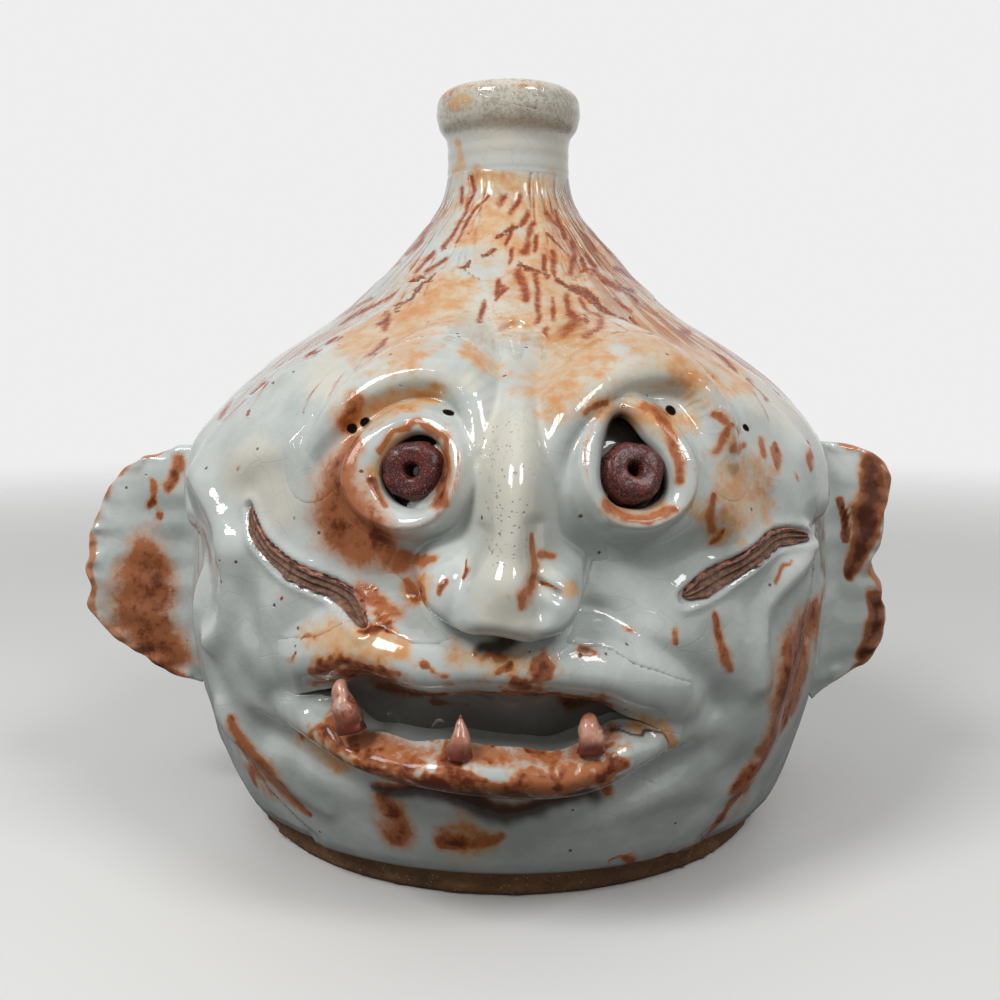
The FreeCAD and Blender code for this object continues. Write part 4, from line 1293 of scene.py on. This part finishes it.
def patch(name, node, material, inside, window, step, broken, droop=None):
    """An applied piece as a patch of the relief over its own window, sunk outside its outline."""
    low_around, high_around, low_up, high_up = window
    around = np.arange(low_around, high_around, step)
    up = np.arange(low_up, high_up, step)
    around, up = np.meshgrid(around, up)
    full, bed = relief(around, up)
    within = inside(around, up)
    lift = full - seam_depth * smooth(-within / seam_width)
    front = point_at(around, up, lift)
    if droop is not None:
        front[..., 2] -= droop(around, up, lift)
    back = point_at(around, up, np.minimum(bed, full) - back_depth)
    keep = quad_mean((within > -seam_width - seam_overlap).astype(float)) > 0.99
    points, faces = thick(front, back, keep)
    marks = glaze_marks(front, broken * crest_of(full, step))
    marks = {mark: np.concatenate([values, values]) for mark, values in marks.items()}
    put(name, points, faces, "jug", node, material, marks)


def window_of(path, margin):
    """The lowest and highest places of a path, widened by a margin."""
    path = np.asarray(path)
    low = path[:, :2].min(0) - margin
    high = path[:, :2].max(0) + margin
    return low[0], high[0], low[1], high[1]


# The nose piece's grid: lowest and highest place around, then up
NOSE_WINDOW = (-32, 28, 66, 140)


def nose_droop(around, up, lift):
    """The tip hangs: the further a point of the lower nose lifts, the lower it lies."""
    foot = cubic(NOSE_FOOT_CURVE, around)
    return 3.0 * smooth((lift - 10) / 12) * smooth((foot + 14 - up) / 12)


def eye_rim(side, material):
    """A rim: rings from its skirt over the crest, down the funnel to the hole and back along the pocket."""
    eye = EYES[side]
    steps = 220
    angle = np.linspace(0, 2 * math.pi, steps, endpoint=False)
    crest = ring_through(eye.crest, angle)
    hole = ring_through(eye.hole, angle)
    outer = crest + rim_piece_width + seam_width
    shares = np.concatenate([np.linspace(0, 1, 30), np.linspace(1, 2, 34)[1:]])
    rings = []
    for share in shares:
        if share <= 1:
            away = outer + (crest - outer) * share
        else:
            away = crest + (hole - crest) * (share - 1)
        around, up = eye.place(away, angle)
        full, _ = relief(around, up)
        edge = full - seam_depth * smooth((away - crest - rim_piece_width) / seam_width)
        rings.append(point_at(around, up, edge))
    for share in np.linspace(0, 1, 14)[1:]:
        away = hole - 0.35 * np.sin(share * math.pi / 2) * (1 - share)
        away = away + pocket_widening * smooth(share * 1.6 - 0.15)
        lift = edge + (pocket_lift - edge) * share ** 1.15
        rings.append(point_at(*eye.place(away, angle), lift))
    for away in (hole + pocket_foot_margin, outer):
        rings.append(point_at(*eye.place(away, angle), pocket_lift))
    points = np.array(rings)
    faces = grid_faces(len(rings), steps, closed_rows=True, closed_columns=True)
    row = np.arange(len(rings))[:, None]
    bend = np.exp(-((row - 29) / 5.0) ** 2) * np.ones(steps)
    marks = glaze_marks(points, 0.42 * bend)
    # Painted shade deep in the pocket round the bead, and in the notch at the top of the right eye
    notch = np.exp(-((angle - 1.85) / 0.5) ** 2) * (side == "right")
    marks["shade"] = np.maximum(smooth((row - 61) / 4), notch * smooth((row - 32) / 22)).ravel()
    put(f"{side}_rim_coil", points, faces, "jug", f"{side}_eye_rim", material, marks)


def lip(name, node, upper, material):
    """A lip: rows from its skirt over the crest to the mouth's edge, then in along the mouth and back."""
    sign = 1 if upper else -1
    curve = UPPER_CURVE if upper else LOWER_CURVE
    reach = lip_reach if upper else lower_lip_reach
    inside = inside_upper_lip if upper else inside_lower_lip
    around = np.arange(LEFT_END - 8, RIGHT_END + 9, piece_step)
    edge = cubic(curve, around)
    opening = smooth((around - OPEN_LEFT + 3) / 6) * smooth((OPEN_RIGHT + 3 - around) / 6)
    lines = []
    for offset in (reach + seam_width) * (1 - np.linspace(0, 1, 50) ** 0.8):
        up = edge + sign * offset
        full, _ = relief(around, up)
        lift = full - seam_depth * smooth(-inside(around, up) / seam_width)
        lift = lift - np.exp(-(offset / 1.3) ** 2) * 1.4 * opening
        lines.append(point_at(around, up, lift))
    floor = np.where(opening > 0.02, mouth_floor_lift, 0.0) + (lift - 4.0) * (1 - opening)
    for share in np.linspace(0, 1, 16)[1:]:
        rise = 0.9 * np.sin(share * math.pi) * opening + 0.5 * share - 0.6 * (1 - opening) * share
        lines.append(point_at(around, edge + sign * rise, lift + (floor - lift) * share ** 1.1))
    for offset in (4.0, reach + seam_width):
        lines.append(point_at(around, edge + sign * offset, lip_back_lift))
    points = np.array(lines)
    rows, columns = points.shape[:2]
    faces = grid_faces(rows, columns, closed_rows=True)
    caps = [list(range(end, rows * columns, columns)) for end in (0, columns - 1)]
    row = np.arange(rows)[:, None]
    bend = np.exp(-((row - 44) / 8.0) ** 2) * np.ones(columns)
    marks = glaze_marks(points, (0.35 if upper else 0.62) * bend * opening)
    if upper:
        band = 1.5 * np.exp(-((row - 47) / 2.6) ** 2) - 0.9
    else:
        band = 1.75 * np.exp(-((row - 25) / 10) ** 2) - 0.55
    broken = (band + waves(points, *LIP_WAVES, 0.16 if upper else 0.34)) * opening - 1.5 * (1 - opening)
    mouth_side = smooth((row - 48) / 3) * np.ones(columns)
    painted = np.minimum(marks["iron"] + 0.25 * waves(points, *LIP_PAINT_WAVES).ravel(), 1.5)
    marks["iron"] = np.minimum(np.maximum(painted, broken.ravel()), 1.7 - 3.0 * mouth_side.ravel())
    put(name, points, faces, "jug", node, material, marks, caps=caps)


def scar(side, path, material):
    """A scar: a ridged strip along its path, sides rolled up into beaded edges."""
    path = path_through(path, 150)
    tangent = np.gradient(path[:, :2], axis=0)
    tangent /= np.hypot(*tangent.T)[:, None]
    normal = np.stack([-tangent[:, 1], tangent[:, 0]], -1)
    across = np.linspace(-1, 1, 33)
    along = np.linspace(0, 1, len(path))
    taper = np.sqrt(np.clip(1 - (2 * along - 1) ** 10, 0.02, 1))
    half = (path[:, 2] * taper)[:, None] * (1 + 0.07 * np.sin(along * 37 + 4 * np.sin(along * 11)))[:, None]
    around = path[:, 0:1] + normal[:, 0:1] * half * across
    up = path[:, 1:2] + normal[:, 1:2] * half * across
    full, _ = relief(around, up)
    ridges = 0.30 * np.cos(across * 9.5)[None, :] * (1 + 0.5 * np.sin(along * 23))[:, None]
    beads = 0.34 * np.exp(-((np.abs(across) - 0.88) / 0.13) ** 2)[None, :]
    beads = beads * (0.8 + 0.22 * np.sin(along * 150 + 9 * np.sin(along * 17)))[:, None]
    dome = scar_bed + scar_lift * np.sqrt(np.clip(1 - across ** 4, 0, 1))[None, :] - 0.5
    rolled_in = 0.6 * (np.abs(across) > 0.99)
    front = point_at(around, up, full + (dome + ridges + beads) * taper[:, None] - rolled_in)
    back = point_at(around, up, full - 2.0)
    points, faces = thick(front, back, np.ones((len(path) - 1, len(across) - 1), bool))
    edge = np.abs(across) ** 3 * np.ones((len(path), 1))
    marks = {"edge": np.tile(edge, (2, 1)), "groove_shade": np.tile(-ridges, (2, 1))}
    put(f"{side}_scar_strip", points, faces, "jug", f"{side}_scar_coil", material, marks)


def fang(name, material):
    """A tusk: rings along a leaning axis, round at the tip, with a glaze collar at its foot."""
    x, z, length, lean, radius, blunt = FANGS[name]
    around = float(around_of(x, z, fang_lift))
    start = point_at(np.array(around), np.array(z), np.array(fang_lift - 1.0))
    turn = around / round_radius
    out = np.array([math.sin(turn), -math.cos(turn), 0])
    right = np.array([math.cos(turn), math.sin(turn), 0])
    lean = math.radians(lean)
    along = np.array([0, 0, math.cos(lean)]) + right * math.sin(lean)
    side = right * math.cos(lean) - np.array([0, 0, math.sin(lean)])
    share = np.sin(np.linspace(0, math.pi / 2, 40))
    taper = (1 - share ** (2 + 7 * blunt)) ** (0.45 + 0.4 * (1 - blunt))
    width = radius * (taper * (0.92 + 0.16 * np.sin(share * 5)) + 0.25 * np.exp(-(share / 0.12) ** 2))
    angle = np.linspace(0, 2 * math.pi, 48, endpoint=False)
    ring = side[None, :] * np.cos(angle)[:, None] + out[None, :] * np.sin(angle)[:, None]
    centre = start + along * (length * share)[:, None] + out * fang_bow * np.sin(share * math.pi)[:, None]
    points = centre[:, None, :] + ring * width[:, None, None]
    dents = waves(points, *FANG_WAVES) * np.minimum(width / radius, 1)[:, None]
    points = points + ring * dents[..., None]
    faces = grid_faces(len(share), len(angle), closed_columns=True)
    caps = end_caps(len(share), len(angle))
    marks = {"foot": np.repeat(1 - share, len(angle))}
    put(name + "_tusk", points, faces, "jug", name, material, marks, caps=caps)


# Beads: how far the hole tips up in degrees, outer radius, and the seed of the dents
BEADS = {"left": (8, 6.8, 41), "right": (24, 7.1, 43)}
bead_hole = 1.3
bead_half_height = 4.6


def bead(side, material):
    """A ring bead: an oval turned about its hole's axis, dented a little and swollen a little."""
    tip, radius, seed = BEADS[side]
    centre = bead_centre(side)
    tip = math.radians(tip)
    turn = math.atan2(centre[0], -centre[1])
    out = np.array([math.sin(turn) * math.cos(tip), -math.cos(turn) * math.cos(tip), math.sin(tip)])
    right = np.array([math.cos(turn), math.sin(turn), 0])
    over = np.cross(out, right)
    loop = np.linspace(0, 2 * math.pi, 72, endpoint=False)
    angle = np.linspace(0, 2 * math.pi, 120, endpoint=False)
    half = (radius - bead_hole) / 2
    squareness = np.where(np.cos(loop) > 0, 0.36, 0.8)
    reach = bead_hole + half * (1 - np.sign(np.cos(loop)) * np.abs(np.cos(loop)) ** squareness)
    rise = bead_half_height * np.sign(np.sin(loop)) * np.abs(np.sin(loop)) ** 0.62
    swell = 1 + 0.02 * np.sin(2 * angle + 1) + 0.015 * np.sin(3 * angle)
    ring = right * np.cos(angle)[:, None] + over * np.sin(angle)[:, None]
    points = centre + out * rise[:, None, None] + ring * (reach[:, None] * swell)[..., None]
    points = points + (points - centre) * waves(points, seed, 14, 8, 2, 0.010)[..., None]
    faces = grid_faces(len(loop), len(angle), closed_rows=True, closed_columns=True)
    put(f"{side}_bead", points, faces, f"{side}_eye", f"{side}_eye_bead", material)


# The ears: outline seen from the front as px and py from the root's top round to its foot
LEFT_EAR = [
    (186, 441), (165, 442), (150, 448), (135, 455), (120, 465), (103, 482), (95, 500), (88, 520), (84, 550),
    (80, 566), (83, 590), (88, 610), (98, 622), (105, 632), (125, 650), (150, 665), (180, 680), (200, 686),
]
RIGHT_EAR = [
    (818, 435), (832, 437), (850, 440), (875, 448), (891, 460), (897, 472), (895, 492), (890, 520),
    (884, 545), (877, 560), (879, 572), (886, 582), (890, 600), (890, 632), (880, 655), (850, 676),
    (815, 704),
]
ear_plane = -18.0
ear_root = 86.0
ear_root_share = 0.75
ear_trim = 1.7

# Each ear: how far the rim rolls back, the sheet's dip, half its thickness, the rim's swell, then the seed
# and height of the rim's notches, and the weight of its painted patches
EARS = {"left": (2.5, 1.0, 2.3, 1.2, 81, 0.36, 1.15), "right": (2.0, 0.8, 2.4, 1.0, 83, 0.18, 2.0)}


def ear(side, outline, material):
    """An ear. Each step along the rim gives a closed loop from the root out over the front and back.

    The sheet dips behind a straight line from root to rim, rolls back by the hook near the rim, and swells
    there with lumps, which are seeded waves. Reach is the distance from root to rim, and share a part of it.
    """
    sign = -1 if side == "left" else 1
    hook, dip, sheet, roll, notch_seed, notch_height, weight = EARS[side]
    heading = rays(outline)
    steps = (ear_plane + hook + camera_back) / heading[:, 1]
    places = np.stack([heading[:, 0] * steps, heading[:, 2] * steps + camera_up], -1)
    rim = path_through(places, 280)
    along = np.linspace(0, 1, len(rim))
    ends = smooth(along / 0.08) * smooth((1 - along) / 0.08)
    line = rim[0, 1] + (rim[-1, 1] - rim[0, 1]) * along
    middle = (rim[0, 1] + rim[-1, 1]) / 2
    root = np.stack([np.full(len(rim), sign * ear_root), middle + ear_root_share * (line - middle)], -1)
    reach = np.hypot(*(rim - root).T)[:, None]
    direction = (rim - root) / reach
    loop = np.linspace(0, 2 * math.pi, 80, endpoint=False)
    share = (1 - np.cos(loop)) / 2
    side_shift = np.sign(np.sin(loop)) * np.abs(np.sin(loop)) ** 0.55
    from_rim = reach * (1 - share)
    near_rim = np.exp(-(from_rim / 4.0) ** 2)
    rim_points = np.stack([rim[:, 0], np.full(len(rim), ear_plane), rim[:, 1]], -1)
    notches = waves(rim_points, notch_seed, 12, 16, 6, notch_height)
    span = reach * share + (notches * ends)[:, None] * share ** 12 - ear_trim * share
    root_flare = np.exp(-(np.maximum(reach * share - 4, 0) / 4.0) ** 2)
    half = sheet + roll * near_rim + 3.0 * root_flare
    y = ear_plane + 1.0 + hook * np.exp(-(from_rim / 7.0) ** 2)
    y = y + dip * np.sin(share * math.pi) - side_shift * half
    x = root[:, 0:1] + direction[:, 0:1] * span
    z = root[:, 1:2] + direction[:, 1:2] * span
    points = np.stack([x, y, z], -1)
    points[..., 1] += waves(points, *EAR_SHEET_WAVES)
    lumps = waves(points, *EAR_RIM_WAVES) * near_rim * ends[:, None]
    points[..., 1] += lumps
    points[..., 0] += sign * 0.6 * lumps
    faces = grid_faces(len(rim), len(loop), closed_columns=True)
    caps = end_caps(len(rim), len(loop))
    broken = np.exp(-(from_rim / 3.0) ** 2) * ends[:, None] * (0.6 + waves(points, *EAR_BREAK_WAVES))
    marks = glaze_marks(points, broken)
    front = np.broadcast_to(smooth(side_shift * 2 + 0.5), from_rim.shape).ravel()
    flat = points.reshape(-1, 3)
    px, py = picture_of(flat)
    painted = paint(EAR_IRON_PATHS, px + waves(flat, *ACROSS_WAVES), py) * weight
    marks["iron"] = np.where(front > 0.3, np.maximum(painted, -1.5), -1.5)
    # On the right ear the shade mark also darkens the painted iron patches
    marks["shade"] = 0.45 * smooth(painted) * (front > 0.3) * (side == "right")
    marks["facing"] = np.ones(len(px))
    marks["combing"] = np.zeros(len(px))
    put(f"{side}_ear_cup", points, faces, "jug", f"{side}_ear", material, marks, caps=caps)


# The neck's outline: radius and up, from the skirt outside, over the lip and down the bore
NECK_OUTLINE = [
    (18.2, 182.5), (18.6, 185.5), (18.15, neck_base), (17.95, 192.0), (18.0, 195.5), (18.5, 198.3),
    (20.0, 200.4), (21.2, 203.2), (21.5, 206.2), (21.0, 209.2), (19.4, 211.3), (17.2, jug_height),
    (15.0, 211.4), (13.6, 209.6), (13.0, 206.5), (bore_radius, 200), (bore_radius, 190),
    (bore_radius, 182.5),
]


def neck(material):
    """The neck and its rolled lip, turned from an outline, a little out of round."""
    rows = 120
    columns = 240
    outline = path_through(NECK_OUTLINE, rows)
    radius = outline[:, 0:1]
    up = outline[:, 1:2]
    turn = np.linspace(-math.pi, math.pi, columns, endpoint=False)
    outside = np.arange(rows)[:, None] < 70
    skirt = wall(up) + 0.02 - 1.2 * smooth((neck_base - 1 - up) / 3)
    radius = np.where(outside & (up < neck_base), skirt, radius)
    lip_share = smooth((up - 196) / 6)
    shake = lip_share * (0.16 * np.sin(3 * turn + 1) + 0.10 * np.sin(5 * turn))
    shake = shake + 0.10 * np.sin(2 * turn + 0.5) + 0.05 * np.sin(up * 1.6)
    reach = radius + np.where(outside, shake, 0) - 0.25 * lip_share * outside
    points = np.stack([reach * np.sin(turn), -reach * np.cos(turn), up + 0 * reach - 0.15 * lip_share], -1)
    faces = grid_faces(rows, columns, closed_rows=True, closed_columns=True)
    edge = np.exp(-((up - 209.5) / 2.0) ** 2) * 0.5 * np.ones_like(turn)
    marks = glaze_marks(points, edge)
    put("neck_and_lip", points, faces, "jug", "neck_collar", material, marks)


# The foot: its outline as shares of its radius at even turns, and its profile: out from that outline, and up
foot_radius = 76.0
FOOT_SHARES = [1.0, 0.99, 1.0, 1.01, 0.995, 1.0, 1.005, 0.99, 1.0, 1.01, 1.0, 0.995]
FOOT_PROFILE = [
    (-60, 0.0), (-20, 0.0), (-2.0, 0.02), (-0.6, 0.5), (0.0, 1.6), (0.6, 4.0), (1.6, 7.0), (2.3, 8.9),
    (2.0, 9.8), (0, 10.2), (-6, 9.5), (-60, foot_height),
]


def foot(material):
    """The raw foot slab: a hand-cut outline with soft edges and a gritty side."""
    rows = 90
    columns = 600
    angle = np.linspace(0, 2 * math.pi, columns, endpoint=False)
    outline = ring_through(np.array(FOOT_SHARES) * foot_radius, angle)
    profile = path_through(FOOT_PROFILE, rows)
    reach = outline + profile[:, 0:1]
    up = np.maximum(profile[:, 1:2], 0) + 0 * reach
    points = np.stack([reach * np.cos(angle), reach * np.sin(angle), up], -1)
    grit = waves(points, *GRIT_WAVES) * smooth(up / 1.5)
    points[..., 0] += grit * np.cos(angle)
    points[..., 1] += grit * np.sin(angle)
    faces = grid_faces(rows, columns, closed_columns=True)
    caps = end_caps(rows, columns)
    marks = {"glazed": (up - 9.4) / 1.5}
    put("raw_foot", points, faces, "jug", "foot_slab", material, marks, caps=caps)


def build_jug():
    """All pieces of the jug."""
    pale = glaze("pale_glaze")
    jug_body(pale)
    neck(glaze("neck_glaze", creamy=1.0))
    foot(raw_clay())
    face_skin(pale)
    patch("nose_form", "nose", pale, inside_nose, NOSE_WINDOW, piece_step, 0.1, nose_droop)
    for side, path in (("left", LEFT_BROW_PATH), ("right", RIGHT_BROW_PATH)):
        window = window_of(path, brow_piece_width + 5)
        brow = f"{side}_brow"
        patch(brow + "_roll", brow, pale, INSIDE[brow], window, brow_step, 0.15)
    for side in EYES:
        eye_rim(side, pale)
    lip("upper_lip_roll", "upper_lip", True, pale)
    lip("lower_lip_roll", "lower_lip", False, pale)
    clay = scar_clay()
    scar("left", LEFT_SCAR_PATH, clay)
    scar("right", RIGHT_SCAR_PATH, clay)
    tusk = fang_glaze()
    for name in FANGS:
        fang(name, tusk)
    dark = bead_glaze()
    for side in BEADS:
        bead(side, dark)
    ear("left", LEFT_EAR, pale)
    ear("right", RIGHT_EAR, pale)


# The world's strength as a light, and as it is seen and mirrored
world_light = 0.20
world_shown = 0.86


def softbox(name, azimuth, elevation, distance, size, power):
    """A square lamp that looks at the jug's middle."""
    lamp = bpy.data.lights.new(name, "AREA")
    lamp.shape = "SQUARE"
    lamp.size = size
    lamp.energy = power
    holder = bpy.data.objects.new(name, lamp)
    turn = math.radians(azimuth)
    rise = math.radians(elevation)
    back = np.array([math.sin(turn) * math.cos(rise), -math.cos(turn) * math.cos(rise), math.sin(rise)])
    middle = np.array([0, 0, jug_height * mm / 2])
    holder.location = middle + back * distance
    holder.rotation_euler = (math.pi / 2 - rise, 0, turn)
    bpy.context.scene.collection.objects.link(holder)


def stage():
    """A pale floor that fades out, soft lamps to the left and right of the camera, and a pale world."""
    side = 6.0
    mesh = bpy.data.meshes.new("floor")
    corners = [(-side, -side, 0), (side, -side, 0), (side, side, 0), (-side, side, 0)]
    mesh.from_pydata(corners, [], [(0, 1, 2, 3)])
    s = Shader("floor")
    away = s.node("ShaderNodeVectorMath", {"operation": "LENGTH"}, {0: s.place}, out="Value")
    near = 1 - away.step(0.25, 1.5)
    shown = s.node("ShaderNodeLightPath", out="Is Camera Ray")
    colour = s.mix(shown, srgb(105, 105, 105), srgb(236, 236, 234))
    mesh.materials.append(s.finish(base_color=colour, roughness=0.6, alpha=near))
    floor = bpy.data.objects.new("floor", mesh)
    bpy.context.scene.collection.objects.link(floor)

    softbox("left_window", -43, 44, 1.1, 0.36, 6.4)
    softbox("right_window", 42, 45, 1.1, 0.34, 3.7)
    softbox("top_fill", 0, 80, 1.3, 1.2, 2.0)

    world = bpy.data.worlds.new("studio")
    bpy.context.scene.world = world
    s = Shader("studio", world)
    shown = s.node("ShaderNodeLightPath", out="Is Camera Ray")
    for kind in ("Is Glossy Ray", "Is Transmission Ray"):
        shown = shown.most(s.node("ShaderNodeLightPath", out=kind))
    light = {"Value": shown, "To Min": world_light, "To Max": world_shown}
    strength = s.node("ShaderNodeMapRange", None, light)
    back = s.node("ShaderNodeBackground", None, {"Color": (1, 1, 1, 1), "Strength": strength})
    s.node("ShaderNodeOutputWorld", None, {"Surface": back})


def camera():
    """The camera in front of the jug, tilted down a little."""
    eye = bpy.data.cameras.new("camera")
    eye.lens = camera_lens
    eye.sensor_width = sensor_width
    holder = bpy.data.objects.new("camera", eye)
    holder.location = (0, -camera_back * mm, camera_up * mm)
    holder.rotation_euler = (math.pi / 2 - camera_tilt, 0, camera_turn)
    bpy.context.scene.collection.objects.link(holder)
    bpy.context.scene.camera = holder


build_jug()
stage()
camera()
bpy.context.scene.view_settings.view_transform = "Standard"
